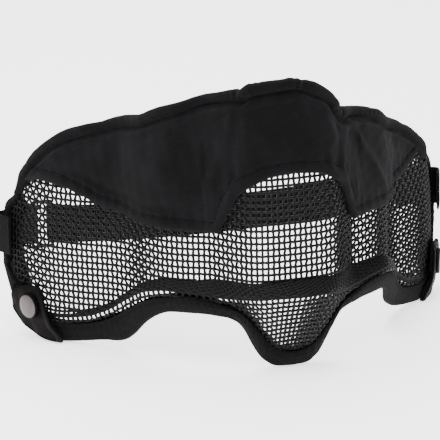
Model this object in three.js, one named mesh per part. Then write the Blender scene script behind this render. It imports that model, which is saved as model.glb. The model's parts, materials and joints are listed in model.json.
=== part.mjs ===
// Half-face mesh mask: a bent wire-mesh face with a cloth upper, taped lower edge, leather corners and an
// elastic head strap. Millimetres, +Z up, the face looks along -Y and rests on its chin and two ear lobes.
// The origin is under the middle of its bounding box.
//
// Every sheet is worked out from one form: ribs, a row for each fold of the mesh from the middle of the
// face to the ear. "side" is the distance from the middle plane, "back" the distance behind the mouth and
// "up" the height. Right is the wearer's left, +X; the two halves differ only in their top edge.
import * as THREE from 'three';

// ---- driving dimensions ---------------------------------------------------------------------------------
const MIDDLE_BACK = 48.78; // depth of the bounding box's middle behind the mouth
const WIRE_SHEET = 1.2; // thickness of the net
const CLEAR = 0.3; // gap kept between pieces
const TAPE = 1.2; // thickness of the edge tape, which is folded over the net's edge
const COVER = 2.2; // thickness of the cloth upper
const HEM = { high: 5.2, inner: -1.8, outer: 4.2 }; // rolled hem along the top, across the net's middle
const HEM_LIFT = 0.66; // how far the hem stands clear of the cloth's upper edge
// the coarse net cut through the sheet: its bars, and the columns and rows of gaps between them
const NET = {
  pitch: 11.4,
  bar: 2.4,
  columns: 26,
  wallRows: 7,
  rimRows: 2,
  bentColumns: 5, // each side of the middle, where the gaps are bent with the wall
  inset: 0.08,
  ends: 0.06,
};
const NET_REACH = 2; // the net's gaps stop this far under the cloth
const NET_TOP = 0.96; // share of the wall that the net fills under the hem
const SEAT = 0.76; // room between the bent net and what is laid on it
const TAPE_LEG = 6.5; // how far the tape's two legs reach over the net
const REAR = 95.5; // side of the rear edge
const STRAP = { wide: 16.6, thick: 1.3, up: 42.8, sag: 4, bow: 3, overlap: 9 };
const RING = { bar: 1.5, gapSide: 78.7, gap: 3.4 };
const TAB = { outer: 7, thick: 1.3, room: 0.9, up: 43.4 };
const PATCH = { thick: 1.1, room: 0.6 };
const SNAP = { side: 87.8, up: 14.6, radius: 5.1, high: 1.7 };

// ribs: the wall's plan, the ledge's foot and rim under it, and the lower edge
const RIBS = [
  { side: 0, back: 0, footUp: 38.5, rimSide: 0, rimBack: -13, rimUp: 35.5, lowSide: 0, lowBack: 8, lowUp: 2.9 },
  { side: 9, back: 0.4, footUp: 38.5, rimSide: 8.5, rimBack: -10.5, rimUp: 35, lowSide: 5.6, lowBack: 8.6, lowUp: 3.06 },
  { side: 17, back: 2.6, footUp: 38, rimSide: 15.5, rimBack: -4.5, rimUp: 33.4, lowSide: 10.6, lowBack: 9.4, lowUp: 6.21 },
  { side: 22.5, back: 8, footUp: 38, rimSide: 20.2, rimBack: 1, rimUp: 32.4, lowSide: 14.8, lowBack: 9.8, lowUp: 13.2 },
  { side: 27, back: 14.5, footUp: 37.6, rimSide: 24.4, rimBack: 5, rimUp: 32, lowSide: 18.6, lowBack: 10, lowUp: 20.2 },
  { side: 30.5, back: 19, footUp: 37, rimSide: 28.6, rimBack: 8.6, rimUp: 32, lowSide: 24, lowBack: 10.6, lowUp: 24.7 },
  { side: 38.5, back: 23.6, footUp: 36, rimSide: 38, rimBack: 15, rimUp: 33, lowSide: 35, lowBack: 17, lowUp: 26.2 },
  { side: 46, back: 29.5, footUp: 36, rimSide: 47.5, rimBack: 22.5, rimUp: 33.4, lowSide: 45, lowBack: 25.5, lowUp: 25.8 },
  { side: 51.5, back: 37.5, footUp: 33.6, rimSide: 54, rimBack: 33, rimUp: 31, lowSide: 52, lowBack: 35.5, lowUp: 21.2 },
  { side: 56, back: 49, footUp: 27, rimSide: 59.4, rimBack: 45.5, rimUp: 24.4, lowSide: 56.8, lowBack: 48, lowUp: 12.2 },
  { side: 62.5, back: 57, footUp: 20, rimSide: 65.4, rimBack: 54.4, rimUp: 18, lowSide: 62.2, lowBack: 57, lowUp: 7.4 },
  { side: 72, back: 64.5, footUp: 15.8, rimSide: 73.2, rimBack: 63.4, rimUp: 13.6, lowSide: 71, lowBack: 66, lowUp: 4.5 },
  { side: 83, back: 75, footUp: 14, rimSide: 83.6, rimBack: 74.8, rimUp: 11.6, lowSide: 82, lowBack: 77, lowUp: 2.8 },
  { side: 90, back: 87.5, footUp: 16.6, rimSide: 90.3, rimBack: 87.4, rimUp: 13.6, lowSide: 89.2, lowBack: 88, lowUp: 6.5 },
  { side: 93.4, back: 95, footUp: 24.4, rimSide: 93.6, rimBack: 94.8, rimUp: 20.6, lowSide: 93.1, lowBack: 95.2, lowUp: 14.5 },
  { side: 95.5, back: 100, footUp: 35, rimSide: 95.5, rimBack: 100, rimUp: 31.6, lowSide: 95.3, lowBack: 100, lowUp: 28.1 },
];

// the crest of the hem on the near (-X) and far (+X) half, the height from which the wall leans in and how
// far it has leant in at the near crest
const CREST = [
  { side: 0, near: 122.3, far: 122.3, leanFrom: 55, lean: 4.8 },
  { side: 4, near: 121.9, far: 121.6, leanFrom: 55, lean: 4.8 },
  { side: 9, near: 121.6, far: 119.3, leanFrom: 55, lean: 4.8 },
  { side: 14, near: 120.8, far: 116.4, leanFrom: 55, lean: 4.8 },
  { side: 17.5, near: 119.6, far: 112.2, leanFrom: 55, lean: 5 },
  { side: 19.6, near: 118.2, far: 108.8, leanFrom: 55, lean: 5.2 },
  { side: 23, near: 117.6, far: 105.6, leanFrom: 55, lean: 5.3 },
  { side: 28, near: 115.2, far: 104.6, leanFrom: 55, lean: 5 },
  { side: 35, near: 112.6, far: 103.2, leanFrom: 55, lean: 4.6 },
  { side: 41, near: 110.4, far: 101.4, leanFrom: 55, lean: 4.3 },
  { side: 47, near: 107.8, far: 98, leanFrom: 55, lean: 4 },
  { side: 54, near: 102.6, far: 92, leanFrom: 55, lean: 3.4 },
  { side: 64, near: 97.8, far: 86.2, leanFrom: 54, lean: 3.4 },
  { side: 70, near: 95.6, far: 82.4, leanFrom: 52, lean: 3.8 },
  { side: 76, near: 93, far: 77.2, leanFrom: 49, lean: 4.4 },
  { side: 82.5, near: 87.6, far: 70.6, leanFrom: 46, lean: 4.6 },
  { side: 86, near: 82.8, far: 68.4, leanFrom: 44, lean: 4.6 },
  { side: 89, near: 75.6, far: 66.6, leanFrom: 42, lean: 4.4 },
  { side: 92, near: 69, far: 65.2, leanFrom: 40, lean: 4.2 },
  { side: 95.5, near: 60.5, far: 60.5, leanFrom: 40, lean: 3.2 },
];

// the cloth's lower edge: mouth arch, the point beside it, the cheek and the ear
const CLOTH_EDGE = [
  { side: 0, up: 83.6 },
  { side: 10, up: 82.6 },
  { side: 16, up: 79.6 },
  { side: 20.4, up: 75.6 },
  { side: 23.6, up: 67 },
  { side: 27, up: 58 },
  { side: 38, up: 58.2 },
  { side: 52, up: 58.6 },
  { side: 57, up: 60.8 },
  { side: 64, up: 62.4 },
  { side: 71, up: 65.8 },
  { side: 79, up: 69 },
  { side: 85, up: 69.6 },
  { side: 91, up: 67 },
];
const CLOTH_REAR = { near: 90.2, far: 75 }; // where the cloth ends at the ear
const HEM_REAR = { near: 90.5, far: 82 }; // where its hem ends
const TAPE_END = 2.4; // the tape stops this far behind the hem
const LOBE_END = 86; // side past which the lower edge turns up behind the ear

// where the cloth bridges the hollow of a fold instead of following it
const BRIDGES = [
  { side: 31, lift: 1.5, wide: 5.5 },
  { side: 62, lift: 1, wide: 6 },
];

// the leather corner's upper edge
const PATCH_EDGE = [
  { side: 79.6, up: 5.6 },
  { side: 82, up: 8 },
  { side: 84, up: 11.6 },
  { side: 85.8, up: 18.6 },
  { side: 86.8, up: 25.6 },
  { side: 91, up: 24.6 },
  { side: 93, up: 24 },
];

// ---- curves ---------------------------------------------------------------------------------------------
// A smooth curve through a table's rows that never overshoots them.
function curveThrough(rows, column, along = 'side') {
  const x = rows.map((row) => row[along]);
  const y = rows.map((row) => row[column]);
  const last = x.length - 1;
  const rise = x.slice(1).map((value, i) => (y[i + 1] - y[i]) / (value - x[i]));
  const slope = x.map((_, i) => {
    if (i === 0) return rise[0];
    if (i === last) return rise[last - 1];
    return rise[i - 1] * rise[i] <= 0 ? 0 : (2 * rise[i - 1] * rise[i]) / (rise[i - 1] + rise[i]);
  });
  slope[0] = column === 'back' ? 0 : slope[0];
  return (at) => {
    const value = THREE.MathUtils.clamp(at, x[0], x[last]);
    let i = 0;
    while (i < last - 1 && value > x[i + 1]) i += 1;
    const span = x[i + 1] - x[i];
    const t = (value - x[i]) / span;
    const u = 1 - t;
    const start = y[i] * (1 + 2 * t) * u * u + slope[i] * span * t * u * u;
    return start + y[i + 1] * t * t * (3 - 2 * t) - slope[i + 1] * span * t * t * u;
  };
}

const rib = Object.fromEntries(Object.keys(RIBS[0]).map((column) => [column, curveThrough(RIBS, column)]));
const crest = Object.fromEntries(Object.keys(CREST[0]).map((column) => [column, curveThrough(CREST, column)]));
const clothEdge = curveThrough(CLOTH_EDGE, 'up');
const patchEdge = curveThrough(PATCH_EDGE, 'up');

const crestUp = (side) => crest[side < 0 ? 'near' : 'far'](Math.abs(side));
const netTop = (side) => crestUp(side) - HEM.high - HEM_LIFT;

// ---- the mask's form ------------------------------------------------------------------------------------
const place = (side, back, up) => new THREE.Vector3(side, back - MIDDLE_BACK, up);

// the wall: the plan, leaning in towards the top and tucked in below the ear
function wall(side, up) {
  const s = Math.abs(side);
  const step = 0.05;
  const steep = (rib.back(s + step) - rib.back(s - step)) / (2 * step);
  const long = Math.hypot(1, steep);
  const from = crest.leanFrom(s);
  const above = Math.max(0, up - from) / (crest.near(s) - from);
  const inward = crest.lean(s) * above * above;
  const x = s - (inward * steep) / long;
  return place(Math.sign(side) * Math.max(x, 0), rib.back(s) + inward / long, up);
}

// a point of the net: level 0 is the lower edge, 1 the rim, 2 the foot of the wall and 3 its top
function net(side, level) {
  const s = Math.abs(side);
  const sign = Math.sign(side);
  const low = place(sign * rib.lowSide(s), rib.lowBack(s), rib.lowUp(s));
  const rim = place(sign * rib.rimSide(s), rib.rimBack(s), rib.rimUp(s));
  if (level <= 1) return low.lerp(rim, level);
  const foot = wall(side, rib.footUp(s));
  if (level <= 2) return rim.lerp(foot, level - 1);
  return wall(side, THREE.MathUtils.lerp(rib.footUp(s), netTop(side), level - 2));
}

// the level at which the net reaches a height, for the ear lobe, where the net rises all the way
function levelAt(side, up) {
  const s = Math.abs(side);
  const heights = [rib.lowUp(s), rib.rimUp(s), rib.footUp(s), netTop(side)];
  let i = 0;
  while (i < 2 && up > heights[i + 1]) i += 1;
  return i + (up - heights[i]) / (heights[i + 1] - heights[i]);
}

// the direction that faces out of the net
function outward(side, level, reach = 0.6) {
  const s = THREE.MathUtils.clamp(side, reach - REAR, REAR - reach);
  const l = THREE.MathUtils.clamp(level, 0.06, 2.94);
  const along = net(s + reach, l).sub(net(s - reach, l));
  const upward = net(s, l + 0.06).sub(net(s, l - 0.06));
  return along.cross(upward).normalize();
}

const offNet = (side, level, height) => net(side, level).addScaledVector(outward(side, level), height);

// sides spaced evenly along the wall's plan, from one ear to the other
function evenSides(count) {
  const fine = Array.from({ length: 400 }, (_, i) => -REAR + (2 * REAR * i) / 399);
  const run = [0];
  fine.slice(1).forEach((s, i) => {
    const across = s - fine[i];
    run.push(run[i] + Math.hypot(across, rib.back(Math.abs(s)) - rib.back(Math.abs(fine[i]))));
  });
  const total = run[run.length - 1];
  return Array.from({ length: count + 1 }, (_, k) => {
    const goal = (total * k) / count;
    const i = Math.max(1, run.findIndex((r) => r >= goal - 1e-9));
    return THREE.MathUtils.lerp(fine[i - 1], fine[i], (goal - run[i - 1]) / (run[i] - run[i - 1]));
  });
}

// ---- closed bodies --------------------------------------------------------------------------------------
function body(name, points, faces, look) {
  const geometry = new THREE.BufferGeometry();
  const volume = faces.reduce((sum, [a, b, c]) => {
    return sum + points[a].dot(new THREE.Vector3().crossVectors(points[b], points[c]));
  }, 0);
  const facing = volume < 0 ? faces.map(([a, b, c]) => [a, c, b]) : faces;
  geometry.setAttribute('position', new THREE.Float32BufferAttribute(points.flatMap((p) => p.toArray()), 3));
  geometry.setIndex(facing.flat());
  geometry.computeVertexNormals();
  const mesh = new THREE.Mesh(geometry, look);
  mesh.name = name;
  return mesh;
}

// two triangles on four corners; the right half of a body is split the other way, so that it mirrors the left
const quad = (a, b, c, d, isRight = false) =>
  isRight
    ? [
        [b, c, d],
        [b, d, a],
      ]
    : [
        [a, b, c],
        [a, c, d],
      ];

// A sheet between two grids of points, with walls round its border and round each cell that is open.
function sheet(name, front, rear, look, isOpen = () => false) {
  const rows = front.length;
  const columns = front[0].length;
  const points = [...front.flat(), ...rear.flat()];
  const at = (i, j, side) => side * rows * columns + i * columns + j;
  const solid = (i, j) => i >= 0 && j >= 0 && i < rows - 1 && j < columns - 1 && !isOpen(i, j);
  const faces = [];
  for (let i = 0; i < rows - 1; i += 1) {
    for (let j = 0; j < columns - 1; j += 1) {
      if (!solid(i, j)) continue;
      const isRight = 2 * j + 1 > columns - 1;
      faces.push(...quad(at(i, j, 0), at(i + 1, j, 0), at(i + 1, j + 1, 0), at(i, j + 1, 0), isRight));
      faces.push(...quad(at(i, j, 1), at(i, j + 1, 1), at(i + 1, j + 1, 1), at(i + 1, j, 1), isRight));
      const edges = [
        [i - 1, j, i, j, i, j + 1],
        [i, j + 1, i, j + 1, i + 1, j + 1],
        [i + 1, j, i + 1, j + 1, i + 1, j],
        [i, j - 1, i + 1, j, i, j],
      ];
      for (const [ni, nj, ai, aj, bi, bj] of edges) {
        if (solid(ni, nj)) continue;
        faces.push(...quad(at(ai, aj, 0), at(bi, bj, 0), at(bi, bj, 1), at(ai, aj, 1)));
      }
    }
  }
  return body(name, points, faces, look);
}

// A section carried through a row of rings and closed at both ends.
function sweep(name, rings, outline, look) {
  const count = outline.length;
  const faces = [];
  for (let i = 0; i < rings.length - 1; i += 1) {
    for (let j = 0; j < count; j += 1) {
      const k = (j + 1) % count;
      const isRight = 2 * i + 1 > rings.length - 1;
      faces.push(...quad(i * count + j, (i + 1) * count + j, (i + 1) * count + k, i * count + k, isRight));
    }
  }
  const ends = THREE.ShapeUtils.triangulateShape(outline, []);
  const area = THREE.ShapeUtils.isClockWise(outline) ? -1 : 1;
  const last = (rings.length - 1) * count;
  for (const [a, b, c] of ends) {
    faces.push(area > 0 ? [a, b, c] : [a, c, b]);
    faces.push(area > 0 ? [last + a, last + c, last + b] : [last + a, last + b, last + c]);
  }
  return body(name, rings.flat(), faces, look);
}

// A flat ribbon on edge: a plan path given a thickness, extruded upwards.
function ribbonGeometry(path, thick, wide) {
  const normals = path.map((p, i) => {
    const before = path[Math.max(i - 1, 0)];
    const after = path[Math.min(i + 1, path.length - 1)];
    const along = after.clone().sub(before).normalize();
    return new THREE.Vector2(-along.y, along.x);
  });
  const left = path.map((p, i) => p.clone().addScaledVector(normals[i], thick / 2));
  const right = path.map((p, i) => p.clone().addScaledVector(normals[i], -thick / 2));
  const shape = new THREE.Shape([...left, ...right.reverse()]);
  return new THREE.ExtrudeGeometry(shape, { depth: wide, bevelEnabled: false });
}

// ---- finishes -------------------------------------------------------------------------------------------
const finish = (color, roughness, metalness = 0) =>
  new THREE.MeshStandardMaterial({ color, roughness, metalness });
const WIRE = finish(0x17181a, 0.45, 0.6);
const CLOTH = finish(0x1f1f22, 0.95);
const WEBBING = finish(0x202023, 0.9);
const LEATHER = finish(0x241f1e, 0.6);
const CAP = finish(0x8d8385, 0.4, 0.7);
const ELASTIC = finish(0x151517, 0.95);

// ---- pieces ---------------------------------------------------------------------------------------------
// lines across the net, each saying whether the strip after it is a row of gaps
function barsAndGaps(from, to, count, share, isBent = () => false) {
  const step = (to - from) / count;
  const lines = [];
  for (let i = 0; i < count; i += 1) {
    lines.push({ at: from + (i + share) * step, open: true });
    if (isBent(i)) lines.push({ at: from + (i + 0.5) * step, open: true });
    lines.push({ at: from + (i + 1 - share) * step, open: false });
  }
  return lines;
}

// The net: bars and gaps take turns along the wall and up it; the gaps under the cloth stay closed.
function meshShell() {
  const share = NET.bar / NET.pitch / 2;
  const cells = NET.columns;
  const edges = evenSides(cells);
  const sideAt = (k) => {
    const i = Math.min(Math.floor(k), cells - 1);
    return THREE.MathUtils.lerp(edges[i], edges[i + 1], k - i);
  };
  const ends = { first: { at: NET.ends, open: false }, last: { at: cells - NET.ends, open: false } };
  const isBent = (i) => Math.abs(i + 0.5 - cells / 2) < NET.bentColumns;
  const columns = [ends.first, ...barsAndGaps(0, cells, cells, share, isBent), ends.last];
  // the ledge is the bar between the gaps under the rim and those over the foot
  const rows = [
    { at: NET.inset, open: false },
    ...barsAndGaps(0, 1, NET.rimRows, share).slice(0, -1),
    { at: 1, open: false },
    { at: 2, open: true },
    ...barsAndGaps(2, 3, NET.wallRows, share).slice(1),
    { at: 2 + NET_TOP, open: false },
  ];
  const sides = columns.map(({ at }) => sideAt(at));
  const isOpen = (i, j) => {
    if (!rows[i].open || !columns[j].open) return false;
    const side = (sides[j] + sides[j + 1]) / 2;
    const up = net(side, (rows[i].at + rows[i + 1].at) / 2).z;
    const clearOfTape = net(side, rows[i].at).distanceTo(net(side, 0)) > TAPE_LEG - NET.bar;
    return clearOfTape && up < clothEdge(Math.abs(side)) + NET_REACH && Math.abs(side) < REAR - TAPE_LEG / 2;
  };
  const grid = (height) => rows.map(({ at }) => sides.map((s) => offNet(s, at, height)));
  return sheet('mesh_shell', grid(WIRE_SHEET / 2), grid(-WIRE_SHEET / 2), WIRE, isOpen);
}

// evenly spaced sides from one end to the other
function closeSides(from, to, step) {
  const count = Math.max(1, Math.round((to - from) / step));
  return Array.from({ length: count + 1 }, (_, i) => from + ((to - from) * i) / count);
}

const wallLevel = (side, up) => {
  const foot = rib.footUp(Math.abs(side));
  return 2 + (up - foot) / (netTop(side) - foot);
};

const hemSides = () => closeSides(-HEM_REAR.near, HEM_REAR.far, 2.9);
const bridge = (side) =>
  BRIDGES.reduce((sum, fold) => {
    const away = (Math.abs(side) - fold.side) / fold.wide;
    return sum + fold.lift * Math.exp(-(away ** 2));
  }, 0);

// The cloth upper lies outside the net, from its lower edge to the hem.
function fabricCover() {
  const sides = hemSides().filter((s) => s > -CLOTH_REAR.near && s < CLOTH_REAR.far);
  const shares = [0, 0.34, 0.67, 1];
  const grid = (height) =>
    shares.map((share) =>
      sides.map((s) => {
        const edge = wallLevel(s, clothEdge(Math.abs(s)));
        return offNet(s, THREE.MathUtils.lerp(edge, 3, share), height + bridge(s));
      }),
    );
  const inner = WIRE_SHEET / 2 + SEAT;
  return sheet('fabric_cover', grid(inner + COVER), grid(inner), CLOTH);
}

// the side and level of the point of the net nearest to a target, walked to from an edge
function nearest(target, side, level) {
  const stepSide = -0.2 * Math.sign(side);
  const stepLevel = level > 1.5 ? -0.04 : 0.04;
  let [s, l] = [side, level];
  for (let k = 0; k < 14; k += 1) {
    const here = net(s, l);
    const across = net(s + stepSide, l).sub(here).divideScalar(stepSide);
    const upward = net(s, l + stepLevel).sub(here).divideScalar(stepLevel);
    const left = target.clone().sub(here);
    const [aa, ab, bb] = [across.dot(across), across.dot(upward), upward.dot(upward)];
    const [ar, br] = [across.dot(left), upward.dot(left)];
    const scale = 0.7 / (aa * bb - ab * ab);
    s = THREE.MathUtils.clamp(s + (ar * bb - br * ab) * scale, -REAR, REAR);
    l = THREE.MathUtils.clamp(l + (aa * br - ab * ar) * scale, 0, 3);
  }
  return [s, l];
}

// Frames along an edge of the net: out faces out of it, away points off its edge, and the leg's frame lies
// on the net a fixed way in from the edge, straight up the net or, where the edge turns, square to the edge.
function edgeFrames(path) {
  return path.map(({ side, level, inSide, inLevel, isSquare }, i) => {
    const point = net(side, level);
    const before = path[Math.max(i - 1, 0)];
    const after = path[Math.min(i + 1, path.length - 1)];
    const along = net(after.side, after.level).sub(net(before.side, before.level)).normalize();
    const out = outward(side, level);
    out.addScaledVector(along, -out.dot(along)).normalize();
    const away = new THREE.Vector3().crossVectors(along, out);
    const inner = (reach) => [side + inSide * reach, level + inLevel * reach];
    const depth = (reach) => net(...inner(reach)).sub(point).dot(away);
    if (depth(1) > 0) away.negate();
    let reach = 1;
    for (let k = 0; k < 6; k += 1) reach *= TAPE_LEG / Math.abs(depth(reach));
    const target = point.clone().addScaledVector(away, -TAPE_LEG);
    const foot = isSquare ? nearest(target, side, level) : inner(reach);
    return { point, out, away, leg: net(...foot), legOut: outward(...foot) };
  });
}

// The hem is rolled over the top of the net and the cloth.
function topHem() {
  const path = hemSides().map((side) => ({ side, level: 3, inSide: 0, inLevel: -0.1 }));
  const { high, inner, outer } = HEM;
  const outline = [
    new THREE.Vector2(inner + 0.7, 0),
    new THREE.Vector2(outer - 0.7, 0),
    new THREE.Vector2(outer, 0.27 * high),
    new THREE.Vector2(outer, 0.7 * high),
    new THREE.Vector2(outer - 1.3, high),
    new THREE.Vector2(inner + 1.2, high),
    new THREE.Vector2(inner, 0.72 * high),
    new THREE.Vector2(inner, 0.25 * high),
  ];
  const rings = edgeFrames(path).map(({ point, out, away }) =>
    outline.map(({ x, y }) => point.clone().addScaledVector(out, x).addScaledVector(away, y + HEM_LIFT)),
  );
  return sweep('top_hem', rings, outline, CLOTH);
}

// The tape is folded over the net's edge, from one ear's top, down behind it, under the face and up again.
function bottomBinding() {
  const lower = closeSides(-REAR, REAR, 2.8).map((side) => {
    return { side, level: 0, inSide: 0, inLevel: 0.3, isSquare: Math.abs(side) > LOBE_END };
  });
  const behind = (sign) =>
    [3, 2.7, 2.45, 2.2, 2, 1].map((level) => {
      return { side: sign * REAR, level, inSide: -2 * sign, inLevel: 0, isSquare: true };
    });
  const above = (sign, rear) =>
    closeSides(rear + TAPE_END, REAR - 1.6, 1.6).map((s) => {
      return { side: sign * s, level: 3, inSide: 0, inLevel: -0.1, isSquare: true };
    });
  const path = [
    ...above(-1, HEM_REAR.near),
    ...behind(-1),
    ...lower,
    ...behind(1).reverse(),
    ...above(1, HEM_REAR.far).reverse(),
  ];
  const near = WIRE_SHEET / 2 + SEAT;
  const far = near + TAPE;
  const rings = edgeFrames(path).map(({ point, out, away, leg, legOut }) => {
    const atEdge = (x, y) => point.clone().addScaledVector(out, x).addScaledVector(away, y);
    const atLeg = (x) => leg.clone().addScaledVector(legOut, x);
    const outside = [atLeg(far), atEdge(far, near), atEdge(near, far), atEdge(-near, far), atEdge(-far, near)];
    return [...outside, atLeg(-far), atLeg(-near), atEdge(-near, SEAT), atEdge(near, SEAT), atLeg(near)];
  });
  const legs = [-far, -near, near, far].map((x) => new THREE.Vector2(x, -TAPE_LEG));
  const folds = [
    [far, near],
    [near, far],
    [-near, far],
    [-far, near],
  ].map(([x, y]) => new THREE.Vector2(x, y));
  const seats = [-near, near].map((x) => new THREE.Vector2(x, SEAT));
  const outline = [legs[3], ...folds, legs[0], legs[1], ...seats, legs[2]];
  return sweep('bottom_binding', rings, outline, WEBBING);
}

const PATCH_LIFT = WIRE_SHEET / 2 + SEAT + TAPE + PATCH.room;

// The leather corner lies over the tape at the bottom of the ear.
function cornerPatch(name, sign) {
  const inner = PATCH_LIFT;
  const first = PATCH_EDGE[0].side;
  const last = PATCH_EDGE[PATCH_EDGE.length - 1].side;
  const sides = closeSides(first, last, 1.6);
  const grid = (height) =>
    [0, 0.25, 0.5, 0.75, 1].map((share) =>
      sides.map((s) => {
        const level = THREE.MathUtils.lerp(-0.16, levelAt(sign * s, patchEdge(s)), share);
        return offNet(sign * s, level, height);
      }),
    );
  return sheet(name, grid(inner + PATCH.thick), grid(inner), LEATHER);
}

// A domed snap cap with a flat top, standing on the leather.
function snapCap(name, sign) {
  const { radius, high } = SNAP;
  const profile = [
    new THREE.Vector2(0, 0),
    new THREE.Vector2(radius - 0.3, 0),
    new THREE.Vector2(radius, 0.5 * high),
    new THREE.Vector2(radius - 0.8, 0.86 * high),
    new THREE.Vector2(radius - 1.6, high),
    new THREE.Vector2(0, high),
  ];
  const mesh = new THREE.Mesh(new THREE.LatheGeometry(profile, 28), CAP);
  const side = sign * SNAP.side;
  const onLeather = (up) => offNet(side, levelAt(side, up), PATCH_LIFT + PATCH.thick);
  const [below, middle, above] = [-radius, 0, radius].map((rise) => onLeather(SNAP.up + rise));
  const along = net(side + 1, 1.5).sub(net(side - 1, 1.5));
  const out = along.cross(above.clone().sub(below)).normalize();
  const behind = Math.max(0, -middle.clone().sub(below).dot(out));
  mesh.position.copy(middle).addScaledVector(out, 2 * CLEAR + behind);
  mesh.quaternion.setFromUnitVectors(new THREE.Vector3(0, 1, 0), out);
  mesh.name = name;
  return mesh;
}

// ---- strap ----------------------------------------------------------------------------------------------
const strapBack = () => rib.back(REAR) + WIRE_SHEET / 2 + SEAT + TAPE + TAB.room + TAB.thick + 0.6;
const TURN = RING.bar * 0.71 + CLEAR + STRAP.thick / 2; // radius of webbing turned round a square bar
const mirrored = (points, sign) => points.map((p) => new THREE.Vector2(sign * p.x, p.y));
const barCentre = (direction) => RING.gapSide + direction * (RING.gap / 2 + STRAP.thick / 2 + TURN);

// half a turn of webbing round a ring's bar, as plan points; it opens to the side given by direction
function turnRoundBar(direction, back) {
  const steps = 6;
  return Array.from({ length: steps + 1 }, (_, i) => {
    const turn = -Math.PI / 2 + (Math.PI * i) / steps;
    const x = barCentre(direction) - direction * TURN * Math.cos(turn);
    return new THREE.Vector2(x, back + TURN * Math.sin(turn));
  });
}

// The tab goes round the rear edge of the ear and on, along the strap's line, round the ring's outer bar.
function strapTab(name, sign) {
  const edge = new THREE.Vector2(REAR, rib.back(REAR) - MIDDLE_BACK);
  const before = new THREE.Vector2(REAR - 2, rib.back(REAR - 2) - MIDDLE_BACK);
  const along = edge.clone().sub(before).normalize();
  const out = new THREE.Vector2(along.y, -along.x);
  const beside = WIRE_SHEET / 2 + SEAT + TAPE + TAB.room + TAB.thick / 2;
  const behind = SEAT + TAPE + TAB.room + TAB.thick / 2 + 0.2;
  const at = (u, v) => edge.clone().addScaledVector(along, u).addScaledVector(out, v);
  const line = strapBack() - MIDDLE_BACK;
  const turn = turnRoundBar(1, line + TURN);
  const path = [
    at(-TAB.outer, beside),
    at(behind - 1.2, beside),
    at(behind - 0.3, beside - 0.7),
    at(behind, beside - 1.8),
    new THREE.Vector2(REAR - 1.5, line),
    ...turn,
    new THREE.Vector2(barCentre(1) + STRAP.overlap - 1, line + 2 * TURN),
  ];
  const mesh = new THREE.Mesh(ribbonGeometry(mirrored(path, sign), TAB.thick, STRAP.wide), WEBBING);
  mesh.position.z = TAB.up - STRAP.wide / 2;
  mesh.name = name;
  return mesh;
}

// A plain loop of wire; the tab holds one bar and the strap the other.
function strapRing(name, sign) {
  const half = { x: barCentre(1) - RING.gapSide + RING.bar / 2, z: STRAP.wide / 2 + 0.8 + RING.bar };
  const shape = new THREE.Shape();
  shape.moveTo(-half.x, -half.z).lineTo(half.x, -half.z).lineTo(half.x, half.z).lineTo(-half.x, half.z);
  const hole = new THREE.Path();
  const inner = { x: half.x - RING.bar, z: half.z - RING.bar };
  hole.moveTo(-inner.x, -inner.z).lineTo(-inner.x, inner.z).lineTo(inner.x, inner.z).lineTo(inner.x, -inner.z);
  shape.holes.push(hole);
  const mesh = new THREE.Mesh(new THREE.ExtrudeGeometry(shape, { depth: RING.bar, bevelEnabled: false }), CAP);
  mesh.rotation.x = Math.PI / 2;
  mesh.position.set(sign * RING.gapSide, strapBack() - MIDDLE_BACK + TURN + RING.bar / 2, STRAP.up);
  mesh.name = name;
  return mesh;
}

// The elastic strap runs from ring to ring behind the head space, bowed back and sagging a little.
function headStrap() {
  const line = strapBack() - MIDDLE_BACK;
  const reach = barCentre(-1);
  const bow = (x) => STRAP.bow * (1 - (x / reach) ** 2);
  const turn = turnRoundBar(-1, line + TURN);
  const end = (sign) => {
    const foldedTo = reach - STRAP.overlap;
    const folded = new THREE.Vector2(sign * foldedTo, line + 2 * TURN + bow(foldedTo) + 0.1);
    return [folded, ...mirrored(turn.slice().reverse(), sign)];
  };
  const middle = closeSides(-reach + 4, reach - 4, 8).map((x) => new THREE.Vector2(x, line + bow(x)));
  const path = [...end(-1), ...middle, ...end(1).reverse()];
  const geometry = ribbonGeometry(path, STRAP.thick, STRAP.wide);
  const position = geometry.getAttribute('position');
  for (let i = 0; i < position.count; i += 1) {
    const sag = STRAP.sag * (1 - Math.min(1, (position.getX(i) / reach) ** 2));
    position.setZ(i, position.getZ(i) + STRAP.up - STRAP.wide / 2 - sag);
  }
  const mesh = new THREE.Mesh(geometry, ELASTIC);
  mesh.name = 'head_strap';
  return mesh;
}

// ---- assembly -------------------------------------------------------------------------------------------
const mask = new THREE.Group();
mask.add(meshShell(), fabricCover(), topHem(), bottomBinding(), headStrap());
for (const [hand, sign] of [['left', 1], ['right', -1]]) {
  mask.add(cornerPatch(`corner_patch_${hand}`, sign), snapCap(`snap_cap_${hand}`, sign));
  mask.add(strapTab(`strap_tab_${hand}`, sign), strapRing(`strap_ring_${hand}`, sign));
}

export default mask;
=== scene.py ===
"""Half-face mesh mask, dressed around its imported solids.

The mask is a bent sheet of woven wire with a padded cloth upper sewn over it, a hem rolled over its top
edge, a tape folded over its lower edge, a leather corner with a snap at each ear and an elastic strap held
by two loops. Every sheet is worked out from one form: "side" is the distance from the middle plane, "back"
the distance behind the mouth and "up" the height, all in millimetres, and "level" runs from the lower edge
(0) over the rim (1) and the wall's foot (2) to the wall's top (3). Meshes are written in metres.
"""

import json
import logging
import math
from dataclasses import dataclass, field
from enum import Enum
from typing import Callable, Optional, Sequence

import bpy
import numpy as np
from mathutils import Matrix, Vector


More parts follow.
